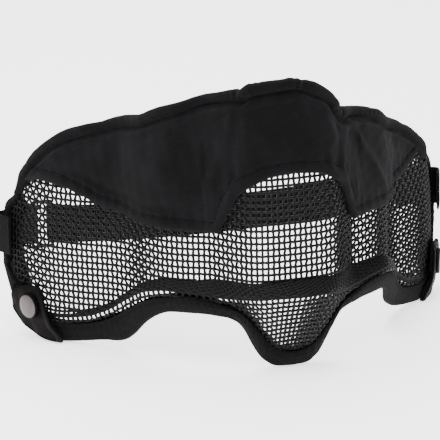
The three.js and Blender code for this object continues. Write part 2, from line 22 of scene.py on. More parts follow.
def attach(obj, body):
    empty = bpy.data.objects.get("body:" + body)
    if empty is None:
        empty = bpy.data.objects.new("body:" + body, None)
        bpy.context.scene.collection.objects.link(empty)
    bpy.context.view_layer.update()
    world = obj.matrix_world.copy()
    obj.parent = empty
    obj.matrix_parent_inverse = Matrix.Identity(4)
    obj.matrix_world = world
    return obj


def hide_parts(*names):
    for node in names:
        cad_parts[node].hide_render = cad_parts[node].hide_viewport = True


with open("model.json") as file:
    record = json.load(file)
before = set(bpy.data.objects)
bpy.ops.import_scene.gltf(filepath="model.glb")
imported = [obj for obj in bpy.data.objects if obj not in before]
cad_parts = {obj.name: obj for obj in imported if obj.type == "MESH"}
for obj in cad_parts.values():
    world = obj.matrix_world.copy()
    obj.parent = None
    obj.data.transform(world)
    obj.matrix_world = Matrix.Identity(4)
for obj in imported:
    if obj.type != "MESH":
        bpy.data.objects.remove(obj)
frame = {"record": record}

LOG = logging.getLogger("mask")
Array = np.ndarray
MM = 0.001
ROOT = "root"
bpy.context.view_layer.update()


class Hand(Enum):
    """The ear that a piece belongs to, as the sign of its side."""

    LEFT = 1
    RIGHT = -1

    @property
    def label(self) -> str:
        """The hand as it stands in the names of pieces."""
        return self.name.lower()


# ---- the form ---------------------------------------------------------------------------------------------
@dataclass(frozen=True)
class Rib:
    """One fold of the wire sheet: the wall's plan, its foot, the ledge's rim and the lower edge."""

    side: float
    back: float
    foot_up: float
    rim_side: float
    rim_back: float
    rim_up: float
    low_side: float
    low_back: float
    low_up: float


@dataclass(frozen=True)
class Crest:
    """The hem's height on the near and far half, and how far the wall leans in above a height."""

    side: float
    near: float
    far: float
    lean_from: float
    lean: float


@dataclass(frozen=True)
class Lump:
    """A place on a seam or edge where the cloth stands high, or low if negative, over a width."""

    side: float
    high: float
    wide: float = 3.4


RIBS = (
    Rib(0, 0, 38.5, 0, -13, 35.5, 0, 8, 2.9),
    Rib(9, 0.4, 38.5, 8.5, -10.5, 35, 5.6, 8.6, 3.06),
    Rib(17, 2.6, 38, 15.5, -4.5, 33.4, 10.6, 9.4, 6.21),
    Rib(22.5, 8, 38, 20.2, 1, 32.4, 14.8, 9.8, 13.2),
    Rib(27, 14.5, 37.6, 24.4, 5, 32, 18.6, 10, 20.2),
    Rib(30.5, 19, 37, 28.6, 8.6, 32, 24, 10.6, 24.7),
    Rib(38.5, 23.6, 36, 38, 15, 33, 35, 17, 26.2),
    Rib(46, 29.5, 36, 47.5, 22.5, 33.4, 45, 25.5, 25.8),
    Rib(51.5, 37.5, 33.6, 54, 33, 31, 52, 35.5, 21.2),
    Rib(56, 49, 27, 59.4, 45.5, 24.4, 56.8, 48, 12.2),
    Rib(62.5, 57, 20, 65.4, 54.4, 18, 62.2, 57, 7.4),
    Rib(72, 64.5, 15.8, 73.2, 63.4, 13.6, 71, 66, 4.5),
    Rib(83, 75, 14, 83.6, 74.8, 11.6, 82, 77, 2.8),
    Rib(90, 87.5, 16.6, 90.3, 87.4, 13.6, 89.2, 88, 6.5),
    Rib(93.4, 95, 24.4, 93.6, 94.8, 20.6, 93.1, 95.2, 14.5),
    Rib(95.5, 100, 35, 95.5, 100, 31.6, 95.3, 100, 28.1),
)
CRESTS = (
    Crest(0, 122.3, 122.3, 55, 4.8),
    Crest(4, 121.9, 121.6, 55, 4.8),
    Crest(9, 121.6, 119.3, 55, 4.8),
    Crest(14, 120.8, 116.4, 55, 4.8),
    Crest(17.5, 119.6, 112.2, 55, 5),
    Crest(19.6, 118.2, 108.8, 55, 5.2),
    Crest(23, 117.6, 105.6, 55, 5.3),
    Crest(28, 115.2, 104.6, 55, 5),
    Crest(35, 112.6, 103.2, 55, 4.6),
    Crest(41, 110.4, 101.4, 55, 4.3),
    Crest(47, 107.8, 98, 55, 4),
    Crest(54, 102.6, 92, 55, 3.4),
    Crest(64, 97.8, 86.2, 54, 3.4),
    Crest(70, 95.6, 82.4, 52, 3.8),
    Crest(76, 93, 77.2, 49, 4.4),
    Crest(82.5, 87.6, 70.6, 46, 4.6),
    Crest(86, 82.8, 68.4, 44, 4.6),
    Crest(89, 75.6, 66.6, 42, 4.4),
    Crest(92, 69, 65.2, 40, 4.2),
    Crest(95.5, 60.5, 60.5, 40, 3.2),
)
CLOTH_EDGE = (
    (0, 83.6), (10, 82.6), (16, 79.6), (20.4, 75.6), (23.6, 67), (27, 58),
    (38, 58.2), (52, 58.6), (57, 60.8), (64, 62.4), (71, 65.8), (79, 69),
    (85, 69.6), (91, 67),
)
PATCH_EDGE = (
    (79.6, 5.8), (81.6, 8.8), (83.2, 12.6), (84.5, 18.4), (85.2, 22.6), (86.6, 24.0), (90, 23.0), (93, 21.6),
)
CLOTH_BRIDGES = (Lump(31, 1.5, 5.5), Lump(62, 1.0, 6.0))

# "back" of the part's middle, and the side of the net's rear edges
MIDDLE_BACK = 48.78
REAR = 95.5
# half the net's thickness, how far what is sewn on stands off it, and the tape's thickness
SHEET_HALF = 0.6
SEAT = 0.76
TAPE_THICK = 1.2
# the hem's height, how far it stands over the net's top, and the sides where hem and cloth end
HEM_HIGH = 5.2
HEM_LIFT = 0.66
HEM_REAR = (-90.5, 82.0)
CLOTH_REAR = (-90.2, 75.0)
# how far the tape's legs reach in, how far behind the hem it starts, and where the lobe's round begins
TAPE_LEG = 6.5
TAPE_END = 2.4
LOBE_END = 86.0
# how far the leather's inner face stands off the net, over the tape
PATCH_LIFT = SHEET_HALF + SEAT + TAPE_THICK + 0.6
# a stitch's thread and the distance to a point ahead that gives its direction
STITCH_RADIUS = 0.18
STITCH_AHEAD = 0.3


@dataclass(frozen=True)
class Smooth:
    """A smooth curve through points that never overshoots them.

    Between two points it is a cubic with given end slopes; an inner slope is the harmonic mean of the rises
    on its two sides, or zero where they turn over.
    """

    x: Array
    y: Array
    slope: Array

    @classmethod
    def through(cls, x: Sequence[float], y: Sequence[float], flat_start: bool = False) -> "Smooth":
        """Makes the curve.

        Args:
            x: rising positions.
            y: values at them.
            flat_start: whether the curve leaves its first point level.

        Returns:
            The curve.
        """
        xs, ys = np.asarray(x, float), np.asarray(y, float)
        rise = np.diff(ys) / np.diff(xs)
        slope = np.zeros_like(xs)
        slope[0], slope[-1] = (0.0 if flat_start else rise[0]), rise[-1]
        before, after = rise[:-1], rise[1:]
        same = before * after > 0
        slope[1:-1] = np.where(same, 2 * before * after / np.where(same, before + after, 1), 0)
        return cls(xs, ys, slope)

    def __call__(self, at: Array) -> Array:
        """The curve's values, held at its ends.

        Args:
            at: the positions.

        Returns:
            A value for each position.
        """
        value = np.clip(at, self.x[0], self.x[-1])
        i = np.clip(np.searchsorted(self.x, value, side="left") - 1, 0, len(self.x) - 2)
        span = self.x[i + 1] - self.x[i]
        t = (value - self.x[i]) / span
        u = 1 - t
        start = self.y[i] * (1 + 2 * t) * u * u + self.slope[i] * span * t * u * u
        return start + self.y[i + 1] * t * t * (3 - 2 * t) - self.slope[i + 1] * span * t * t * u


def unit(vectors: Array) -> Array:
    """The vectors at length one."""
    return vectors / np.maximum(np.linalg.norm(vectors, axis=-1, keepdims=True), 1e-12)


def square_to(vectors: Array, along: Array) -> Array:
    """The vectors without their share along a direction, at length one."""
    return unit(vectors - along * np.sum(vectors * along, axis=-1, keepdims=True))


def smooth_step(value: Array) -> Array:
    """Rises from 0 to 1 with level ends, as 3t^2 - 2t^3."""
    t = np.clip(value, 0, 1)
    return t * t * (3 - 2 * t)


def bell(away: Array, wide: float) -> Array:
    """A bell of height one: e to the minus square of the distance over the width."""
    return np.exp(-((away / wide) ** 2))


def rounded(share: Array, least: float = 0.0) -> Array:
    """The height of a quarter circle at a share of its width: the root of 1 - (1 - share)^2."""
    return np.sqrt(np.clip(1 - (1 - np.clip(share, 0, 1)) ** 2, least, 1))


def boxed(value: Array, power: float) -> Array:
    """A cosine or sine made squarer: its sign times its size to a power under one."""
    return np.sign(value) * np.abs(value) ** power


def smoothed(points: Array, times: int) -> Array:
    """The points with each inner one moved to (before + 2 here + after) / 4, over and over.

    Args:
        points: (points, axes) along a line.
        times: how often they are moved.

    Returns:
        New points, with the two ends left where they were.
    """
    points = points.copy()
    for _ in range(times):
        points[1:-1] = (points[:-2] + 2 * points[1:-1] + points[2:]) / 4
    return points


def on_line(at: Array, run: Array, points: Array) -> Array:
    """Points at distances along a line.

    Args:
        at: the distances.
        run: how far along each of the line's points lies.
        points: the line's points, (points, axes).

    Returns:
        (distances, axes) points.
    """
    return np.stack([np.interp(at, run, points[:, k]) for k in range(points.shape[1])], axis=-1)


def even_places(long: float, pitch: float) -> Array:
    """The middles of equal steps, each of about a pitch, along a length."""
    count = int(long / pitch)
    return (np.arange(count) + 0.5) * long / count


class MaskForm:
    """The one form that every sheet follows, as functions of side and level or height."""

    def __init__(self) -> None:
        """Lays smooth curves through the tables."""
        side = [rib.side for rib in RIBS]
        names = ("back", "foot_up", "rim_side", "rim_back", "rim_up", "low_side", "low_back", "low_up")
        self.rib = {n: Smooth.through(side, [getattr(r, n) for r in RIBS], n == "back") for n in names}
        crest_side = [crest.side for crest in CRESTS]
        names = ("near", "far", "lean_from", "lean")
        self.crest = {n: Smooth.through(crest_side, [getattr(c, n) for c in CRESTS]) for n in names}
        self.cloth_edge = Smooth.through(*zip(*CLOTH_EDGE))
        self.patch_edge = Smooth.through(*zip(*PATCH_EDGE))
        self.fine_side = np.linspace(-REAR, REAR, 2400)
        back = self.rib["back"](np.abs(self.fine_side))
        steps = np.hypot(np.diff(self.fine_side), np.diff(back))
        run = np.concatenate([[0.0], np.cumsum(steps)])
        self.fine_arc = run - run[-1] / 2

    def arc(self, side: Array) -> Array:
        """The distance along the wall's plan from the middle plane."""
        return np.interp(side, self.fine_side, self.fine_arc)

    def side_at(self, arc: Array) -> Array:
        """The side at a distance along the wall's plan."""
        return np.interp(arc, self.fine_arc, self.fine_side)

    def net_top(self, side: Array) -> Array:
        """The height of the wire sheet's top edge, under the hem.

        Args:
            side: signed distances from the middle plane.

        Returns:
            A height for each.
        """
        s = np.abs(side)
        crest = np.where(side < 0, self.crest["near"](s), self.crest["far"](s))
        return crest - HEM_HIGH - HEM_LIFT

    def wall(self, side: Array, up: Array) -> Array:
        """The wall: its plan, moved in along its normal by lean times the square of the share of height.

        Args:
            side: signed distances from the middle plane.
            up: heights.

        Returns:
            Points in millimetres, with one more axis than the arguments.
        """
        side, up = np.broadcast_arrays(np.asarray(side, float), np.asarray(up, float))
        s, step = np.abs(side), 0.05
        steep = (self.rib["back"](s + step) - self.rib["back"](s - step)) / (2 * step)
        long = np.hypot(1, steep)
        start = self.crest["lean_from"](s)
        above = np.maximum(0, up - start) / (self.crest["near"](s) - start)
        inward = self.crest["lean"](s) * above**2
        x = np.maximum(s - inward * steep / long, 0) * np.sign(side)
        return np.stack([x, self.rib["back"](s) + inward / long - MIDDLE_BACK, up], axis=-1)

    def low(self, side: Array) -> Array:
        """Points of the lower edge."""
        return self._edge(side, "low")

    def rim(self, side: Array) -> Array:
        """Points of the ledge's rim."""
        return self._edge(side, "rim")

    def foot(self, side: Array) -> Array:
        """Points of the wall's foot."""
        return self.wall(side, self.rib["foot_up"](np.abs(side)))

    def _edge(self, side: Array, name: str) -> Array:
        """Points of a line below the wall.

        Args:
            side: signed distances from the middle plane.
            name: "low" for the lower edge or "rim" for the ledge's rim.

        Returns:
            Points in millimetres.
        """
        s = np.abs(side)
        x = np.sign(side) * self.rib[f"{name}_side"](s)
        return np.stack([x, self.rib[f"{name}_back"](s) - MIDDLE_BACK, self.rib[f"{name}_up"](s)], axis=-1)

    def net(self, side: Array, level: Array) -> Array:
        """Points of the wire sheet's middle.

        Args:
            side: signed distances from the middle plane.
            level: 0 at the lower edge, 1 at the rim, 2 at the wall's foot, 3 at its top.

        Returns:
            Points in millimetres, with one more axis than the arguments.
        """
        side, level = np.broadcast_arrays(np.asarray(side, float), np.asarray(level, float))
        low, rim, foot = self.low(side), self.rim(side), self.foot(side)
        foot_up = self.rib["foot_up"](np.abs(side))
        up = foot_up + (self.net_top(side) - foot_up) * (level - 2)
        t = level[..., None]
        flange = low + (rim - low) * t
        ledge = rim + (foot - rim) * (t - 1)
        return np.where(t <= 1, flange, np.where(t <= 2, ledge, self.wall(side, up)))

    def level_at(self, side: Array, up: Array) -> Array:
        """The level at which the net reaches a height.

        Args:
            side: signed distances from the middle plane.
            up: heights.

        Returns:
            Levels from 0 to 3.
        """
        s = np.abs(side)
        edges = (self.rib["low_up"](s), self.rib["rim_up"](s), self.rib["foot_up"](s), self.net_top(side))
        shares = [(up - a) / (b - a) for a, b in zip(edges[:-1], edges[1:])]
        return np.where(up <= edges[1], shares[0], np.where(up <= edges[2], 1 + shares[1], 2 + shares[2]))

    def outward(self, side: Array, level: Array, reach: float = 0.6) -> Array:
        """The direction that faces out of the net: across its width by up its height.

        Args:
            side: signed distances from the middle plane.
            level: levels from 0 to 3.
            reach: how far to either side the net is sampled.

        Returns:
            Directions at length one.
        """
        side, level = np.broadcast_arrays(np.asarray(side, float), np.asarray(level, float))
        rise = 0.06
        s = np.clip(side, reach - REAR, REAR - reach)
        v = np.clip(level, rise, 3 - rise)
        along = self.net(s + reach, v) - self.net(s - reach, v)
        upward = self.net(s, v + rise) - self.net(s, v - rise)
        return unit(np.cross(along, upward))

    def off(self, side: Array, level: Array, height: Array) -> Array:
        """Points that stand a height off the net."""
        return self.net(side, level) + self.outward(side, level) * np.asarray(height)[..., None]

    def nearest(self, target: Array, side: Array, level: Array) -> tuple[Array, Array]:
        """The net's places nearest to some points, walked to by damped Newton steps.

        Args:
            target: the points.
            side: the sides to start from.
            level: the levels to start from.

        Returns:
            The sides and the levels.
        """
        steps, damping = 14, 0.7
        step_side = -0.2 * np.sign(side)
        step_level = np.where(level > 1.5, -0.04, 0.04)
        s, v = side.copy(), level.copy()
        for _ in range(steps):
            here = self.net(s, v)
            across = (self.net(s + step_side, v) - here) / np.where(step_side == 0, 1.0, step_side)[:, None]
            upward = (self.net(s, v + step_level) - here) / step_level[:, None]
            left = target - here
            pairs = ((across, across), (across, upward), (upward, upward), (across, left), (upward, left))
            aa, ab, bb, ar, br = (np.sum(p * q, axis=-1) for p, q in pairs)
            scale = damping / (aa * bb - ab * ab)
            s = np.clip(s + (ar * bb - br * ab) * scale, -REAR, REAR)
            v = np.clip(v + (aa * br - ab * ar) * scale, 0, 3)
        return s, v


FORM = MaskForm()


# ---- meshes -----------------------------------------------------------------------------------------------
class MeshParts:
    """Collects rings of points and the faces between them, then writes them as one mesh."""

    def __init__(self) -> None:
        """Starts with nothing collected."""
        self.points: list[Array] = []
        self.quads: list[Array] = []
        self.caps: list[list[int]] = []
        self.quad_uvs: list[Array] = []
        self.cap_uvs: list[Array] = []
        self.count = 0

    def add(self, rings: Array, uv: Optional[Array] = None, is_capped: bool = True) -> None:
        """Adds a body carried through closed rings of points.

        Args:
            rings: rows of rings, (rows, around, 3), in millimetres.
            uv: each point's texture place, (rows, around + 1, 2); the last column closes the ring.
            is_capped: whether the two end rings are closed by a face.
        """
        rows, around = rings.shape[:2]
        ids = np.arange(rows * around).reshape(rows, around) + self.count
        after = np.roll(ids, -1, axis=1)
        quads = np.stack([ids[:-1], ids[1:], after[1:], after[:-1]], axis=-1)
        middle = rings.reshape(-1, 3).mean(axis=0)
        local = rings - middle
        a, b = local[:-1], local[1:]
        c, d = np.roll(b, -1, axis=1), np.roll(a, -1, axis=1)
        volume = np.sum(a * np.cross(b, c)) + np.sum(a * np.cross(c, d))
        if uv is None:
            uv = np.zeros((rows, around + 1, 2))
        corners = np.stack([uv[:-1, :-1], uv[1:, :-1], uv[1:, 1:], uv[:-1, 1:]], axis=2)
        is_inside_out = volume < 0
        if is_inside_out:
            quads, corners = quads[..., ::-1], corners[:, :, ::-1]
        self.points.append(rings.reshape(-1, 3))
        self.quads.append(quads.reshape(-1, 4))
        self.quad_uvs.append(corners.reshape(-1, 2))
        if is_capped:
            for ring, place, turn in ((ids[0], uv[0], 1), (ids[-1], uv[-1], -1)):
                turn = -turn if is_inside_out else turn
                self.caps.append(ring[::turn].tolist())
                self.cap_uvs.append(place[:-1][::turn])
        self.count += rows * around

    def write(self, name: str, finish: "Finish", sharp: float = 40.0) -> bpy.types.Object:
        """Writes the mesh and its object.

        Args:
            name: the piece's name.
            finish: what it is made of.
            sharp: the angle in degrees past which an edge shows.

        Returns:
            The object, at the origin.
        """
        mesh = bpy.data.meshes.new(name)
        points = np.concatenate(self.points) * MM
        quads = np.concatenate(self.quads)
        mesh.from_pydata(points.tolist(), [], quads.tolist() + self.caps)
        uvs = np.concatenate(self.quad_uvs + self.cap_uvs)
        mesh.uv_layers.new(name="Cloth").data.foreach_set("uv", uvs.astype(np.float32).ravel())
        mesh.polygons.foreach_set("use_smooth", np.ones(len(mesh.polygons), bool))
        mesh.update()
        mesh.set_sharp_from_angle(angle=math.radians(sharp))
        piece = bpy.data.objects.new(name, mesh)
        bpy.context.scene.collection.objects.link(piece)
        mesh.materials.append(finish.material())
        return piece


def place_piece(piece: bpy.types.Object, slot: str, *stands_for: str) -> bpy.types.Object:
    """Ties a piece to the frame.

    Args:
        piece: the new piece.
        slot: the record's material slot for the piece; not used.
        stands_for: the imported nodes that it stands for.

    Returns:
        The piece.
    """
    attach(piece, ROOT)
    if stands_for:
        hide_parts(*stands_for)
    triangles = sum(len(p.vertices) - 2 for p in piece.data.polygons)
    LOG.info("%s: %d triangles", piece.name, triangles)
    return piece


def lengths(points: Array, axis: int = 0) -> Array:
    """The distance run along a grid of points, starting from 0.

    Args:
        points: (..., 3) or (..., 2) points.
        axis: the grid's axis to run along.

    Returns:
        A distance for each point.
    """
    steps = np.linalg.norm(np.diff(points, axis=axis), axis=-1)
    start = np.zeros_like(np.take(steps, [0], axis=axis))
    return np.concatenate([start, np.cumsum(steps, axis=axis)], axis=axis)


def ring_places(rings: Array) -> Array:
    """Texture places in millimetres: the distance along the rings' middle and round each ring.

    Args:
        rings: (rows, around, 3) points.

    Returns:
        (rows, around + 1, 2) places; the last column closes the ring.
    """
    along = lengths(rings.mean(axis=1))[:, None]
    closed = np.concatenate([rings, rings[:, :1]], axis=1)
    around = lengths(closed, axis=1)
    return np.stack([np.broadcast_to(along, around.shape), around], axis=-1)


def tube(path: Array, normal: Array, radius: float, sides: int) -> Array:
    """Rings of a round wire: the path plus radius times the cos and sin of two directions square to it.

    Args:
        path: the wire's points.
        normal: a direction beside the wire at each point.
        radius: the wire's radius.
        sides: how many points a ring has.

    Returns:
        Rings of points.
    """
    tangent = unit(np.gradient(path, axis=0))
    beside = unit(np.cross(tangent, normal))
    out = np.cross(beside, tangent)
    angle = np.arange(sides) * 2 * math.pi / sides
    ring = np.cos(angle)[None, :, None] * out[:, None] + np.sin(angle)[None, :, None] * beside[:, None]
    return path[:, None] + radius * ring


def catmull(rows: Array, times: int) -> Array:
    """Rows of points with more rows between them, on the curve through each four neighbours.

    Args:
        rows: (rows, ...) points.
        times: how many steps each span is cut into.

    Returns:
        ((rows - 1) * times + 1, ...) points.
    """
    padded = np.concatenate([2 * rows[:1] - rows[1:2], rows, 2 * rows[-1:] - rows[-2:-1]])
    a, b, c, d = padded[:-3], padded[1:-2], padded[2:-1], padded[3:]
    t = (np.arange(times) / times).reshape((1, times) + (1,) * (rows.ndim - 1))
    a, b, c, d = (p[:, None] for p in (a, b, c, d))
    square, cube = 2 * a - 5 * b + 4 * c - d, 3 * b - a - 3 * c + d
    curve = 0.5 * (2 * b + (c - a) * t + square * t**2 + cube * t**3)
    return np.concatenate([curve.reshape((-1,) + rows.shape[1:]), rows[-1:]])


def add_stitches(
    parts: MeshParts, centres: Array, along: Array, out: Array, half: float, sink: float
) -> None:
    """Adds a row of stitches, each a thread that dips into the cloth at both ends.

    A ring's place is t from -1 to 1 along the stitch. Its height falls by t^4 times the radius, and it
    narrows towards both ends.

    Args:
        parts: the mesh that takes them, each as a closed body of its own.
        centres: the stitches' middles on the cloth.
        along: the direction of each.
        out: the direction off the cloth at each.
        half: half a stitch's length.
        sink: how deep the thread is pressed in.
    """
    t = np.array([-1.0, -0.8, -0.35, 0.35, 0.8, 1.0])
    angle = np.arange(6) * math.pi / 3
    width = STITCH_RADIUS * np.array([0.35, 0.85, 1.0, 1.0, 0.85, 0.35])
    height = -1.1 * STITCH_RADIUS * np.abs(t) ** 4 - sink
    beside = unit(np.cross(along, out))
    c, a, o, b = (v[:, None, None] for v in (centres, along, out, beside))
    t, width, height = (v[None, :, None, None] for v in (t, width, height))
    ca, sa = np.cos(angle)[None, None, :, None], np.sin(angle)[None, None, :, None]
    for rings in c + a * half * t + o * (height + width * ca) + b * width * sa:
        parts.add(rings)


def two_faced(outer: Array, inner: Array, place: Array, step: int) -> MeshParts:
    """A sheet with two faces: rings that run up its outer face and back down its inner one.

    Args:
        outer: the outer face's points, (rows, columns, 3).
        inner: the inner face's points.
        place: each point's texture place.
        step: how many columns of the outer face one column of the inner face spans.

    Returns:
        The mesh, not yet written.
    """
    parts = MeshParts()
    rings = np.concatenate([outer, inner[:, ::-step]], axis=1)
    parts.add(rings, np.concatenate([place, place[:, ::-step], place[:, :1]], axis=1))
    return parts


# ---- finishes ---------------------------------------------------------------------------------------------
Colour = tuple[float, float, float] | bpy.types.NodeSocket
# how strongly cloth mirrors light, and the tint of its sheen
CLOTH_MIRROR = 0.05
SHEEN_TINT = (0.75, 0.76, 0.8, 1.0)


class Value:
    """A number that changes over a surface: a socket that shader maths can be written with."""

    def __init__(self, dresser: "Dresser", socket: bpy.types.NodeSocket) -> None:
        """Wraps a socket of a dresser's tree."""
        self.dresser, self.socket = dresser, socket

    def _math(self, operation: str, *values: "Value | float") -> "Value":
        """Adds a Math node whose inputs are all of the values, in order."""
        return self.dresser.add("Math", {"operation": operation}, dict(enumerate(values)))["Value"]

    def __add__(self, other: "Value | float") -> "Value":
        """The sum."""
        return self._math("ADD", self, other)

    def __radd__(self, other: float) -> "Value":
        """The sum, written the other way round."""
        return self._math("ADD", other, self)

    def __sub__(self, other: "Value | float") -> "Value":
        """The difference."""
        return self._math("SUBTRACT", self, other)

    def __rsub__(self, other: float) -> "Value":
        """The difference, written the other way round."""
        return self._math("SUBTRACT", other, self)

    def __mul__(self, other: "Value | float") -> "Value":
        """The product."""
        return self._math("MULTIPLY", self, other)

    def __rmul__(self, other: float) -> "Value":
        """The product, written the other way round."""
        return self._math("MULTIPLY", other, self)

    def wave(self, period: float) -> "Value":
        """The cosine with this period."""
        return self._math("COSINE", self * (2 * math.pi / period))

    def size(self) -> "Value":
        """The value without its sign."""
        return self._math("ABSOLUTE", self)

    def ramp(self, start: float, end: float) -> "Value":
        """Rises smoothly from 0 at start to 1 at end.

        Args:
            start: the value that gives 0.
            end: the value that gives 1.

        Returns:
            The share between them.
        """
        inputs = {"Value": self, "From Min": start, "From Max": end}
        return self.dresser.add("MapRange", {"interpolation_type": "SMOOTHSTEP"}, inputs)["Result"]


class Dresser:
    """Builds one material's node tree."""

    def __init__(self, name: str) -> None:
        """Starts a material with an empty tree.

        Args:
            name: the material's name.
        """
        self.material = bpy.data.materials.new(name)
        self.material.use_nodes = True
        self.tree = self.material.node_tree
        self.tree.nodes.clear()

    def add(self, kind: str, settings: Optional[dict] = None, inputs: Optional[dict] = None) -> "Outputs":
        """Adds a node.

        Args:
            kind: the node's type without its prefix.
            settings: attributes set before the sockets.
            inputs: socket name or number to a value, a Value or a socket.

        Returns:
            The node's outputs, by name.
        """
        node = self.tree.nodes.new(f"ShaderNode{kind}")
        for name, setting in (settings or {}).items():
            setattr(node, name, setting)
        for name, value in (inputs or {}).items():
            socket = node.inputs[name]
            if isinstance(value, Value):
                value = value.socket
            if isinstance(value, bpy.types.NodeSocket):
                self.tree.links.new(value, socket)
            else:
                socket.default_value = value
        return Outputs(self, node)

    def object_place(self) -> bpy.types.NodeSocket:
        """The Object coordinates, in metres."""
        return self.add("TexCoord").socket("Object")

    def cloth_place(self) -> tuple[Value, Value]:
        """The distances along and round a piece, in millimetres, from its own UV map."""
        parts = self.add("SeparateXYZ", None, {0: self.add("UVMap", {"uv_map": "Cloth"}).socket("UV")})
        return parts["X"], parts["Y"]

    def noise(self, scale: float, detail: float, roughness: float = 0.55) -> Value:
        """Cloudy noise on the Object coordinates.

        Args:
            scale: features a metre.
            detail: how many finer layers are added.
            roughness: how strong each finer layer is.

        Returns:
            Values from 0 to 1.
        """
        inputs = {"Vector": self.object_place(), "Scale": scale, "Detail": detail, "Roughness": roughness}
        return self.add("TexNoise", None, inputs)["Fac"]

    def blend(self, share: Value, low: Colour, high: Colour) -> bpy.types.NodeSocket:
        """A colour between two.

        Args:
            share: 0 for the low colour and 1 for the high one.
            low: a colour, or a socket that gives one.
            high: the same.

        Returns:
            The socket of the mixed colour.
        """
        factor, first, second, result = 0, 6, 7, 2
        low, high = (c if isinstance(c, bpy.types.NodeSocket) else (*c, 1.0) for c in (low, high))
        node = self.add("Mix", {"data_type": "RGBA"}, {factor: share, first: low, second: high})
        return node.socket_number(result)

    def bump(self, height: Value, distance: float, strength: float) -> bpy.types.NodeSocket:
        """A surface direction bent by a height.

        Args:
            height: the height as a share of the distance.
            distance: how far a height of one stands out, in metres.
            strength: how strongly the bend shows.

        Returns:
            The socket of the direction.
        """
        inputs = {"Height": height, "Distance": distance, "Strength": strength}
        return self.add("Bump", None, inputs).socket("Normal")

    def finish(self, inputs: dict) -> bpy.types.Material:
        """Adds the surface and its output.

        Args:
            inputs: socket name to a value, a Value or a socket.

        Returns:
            The material.
        """
        surface = self.add("BsdfPrincipled", None, inputs)
        self.add("OutputMaterial", None, {"Surface": surface.socket("BSDF")})
        return self.material


class Outputs:
    """The outputs of one node."""

    def __init__(self, dresser: Dresser, node: bpy.types.Node) -> None:
        """Keeps the node."""
        self.dresser, self.node = dresser, node

    def __getitem__(self, name: str) -> Value:
        """An output as a number for shader maths."""
        return Value(self.dresser, self.node.outputs[name])

    def socket(self, name: str) -> bpy.types.NodeSocket:
        """An output as it is, for a colour or a direction."""
        return self.node.outputs[name]

    def socket_number(self, number: int) -> bpy.types.NodeSocket:
        """An output by its place, where several share a name."""
        return self.node.outputs[number]


@dataclass(frozen=True)
class Finish:
    """What a piece is made of; material() builds it once and keeps it."""

    name: str
    color: tuple[float, float, float]
    roughness: float = 0.8

    def material(self) -> bpy.types.Material:
        """The material of this finish."""
        found = bpy.data.materials.get(self.name)
        return found or self.build(Dresser(self.name))

    def build(self, d: Dresser) -> bpy.types.Material:
        """Builds the nodes of the finish."""
        raise NotImplementedError


def scaled(color: tuple[float, float, float], share: float) -> tuple[float, float, float]:
    """A colour made lighter or darker."""
    return tuple(channel * share for channel in color)


@dataclass(frozen=True)
class CoatedWire(Finish):
    """Black coated wire: satin, with thin spots rubbed on its crowns."""

    metallic: float = 0.0

    def build(self, d: Dresser) -> bpy.types.Material:
        """Coating that varies a little and is rougher where it has run.

        Args:
            d: the material's dresser.

        Returns:
            The material.
        """
        blotch = d.noise(900, 4)
        fine = d.noise(6000, 2)
        color = d.blend(blotch.ramp(0.35, 0.7), scaled(self.color, 0.7), scaled(self.color, 1.5))
        rough = self.roughness + 0.22 * (blotch - 0.5) + 0.1 * (fine - 0.5)
        return d.finish({
            "Base Color": color,
            "Roughness": rough,
            "Metallic": self.metallic,
            "Specular IOR Level": 0.16,
            "Normal": d.bump(fine, 0.00005, 0.5),
        })


@dataclass(frozen=True)
class WovenCloth(Finish):
    """Cloth of fine threads: crowns where warp and weft pass over each other, with slubs, lint and sheen."""

    thread: float = 0.55
    sheen: float = 0.035
    relief: float = 0.0003
    lint: float = 0.35

    def build(self, d: Dresser) -> bpy.types.Material:
        """The weave's height is the size of cos u times cos v, with alternate crowns turned.

        Args:
            d: the material's dresser.

        Returns:
            The material.
        """
        u, v = d.cloth_place()
        warp, weft = u.wave(2 * self.thread), v.wave(2 * self.thread)
        crowns = (warp * weft).size()
        turned = (warp * weft).ramp(-0.3, 0.3)
        slub = d.noise(2200, 3)
        cloud = d.noise(55, 4)
        fuzz = d.noise(14000, 2)
        height = crowns * 0.8 + slub * 0.35 + fuzz * 0.25
        # Colour: lighter on the weave's crowns, a painted highlight, and darker between them, painted shade;
        # the clouds, slubs and lint are the cloth's own tone.
        light = cloud.ramp(0.3, 0.75) * 0.45 + crowns * 0.3 + slub * 0.25 + turned * 0.08
        color = d.blend(light, scaled(self.color, 0.35), scaled(self.color, 1.65))
        specks = d.noise(3800, 1).ramp(0.74, 0.8) * self.lint
        color = d.blend(specks, color, scaled(self.color, 3.2))
        return d.finish({
            "Base Color": color,
            "Roughness": self.roughness + 0.1 * (slub - 0.5),
            "Specular IOR Level": CLOTH_MIRROR,
            "Sheen Weight": self.sheen,
            "Sheen Roughness": 0.45,
            "Sheen Tint": SHEEN_TINT,
            "Normal": d.bump(height, self.relief, 0.9),
        })


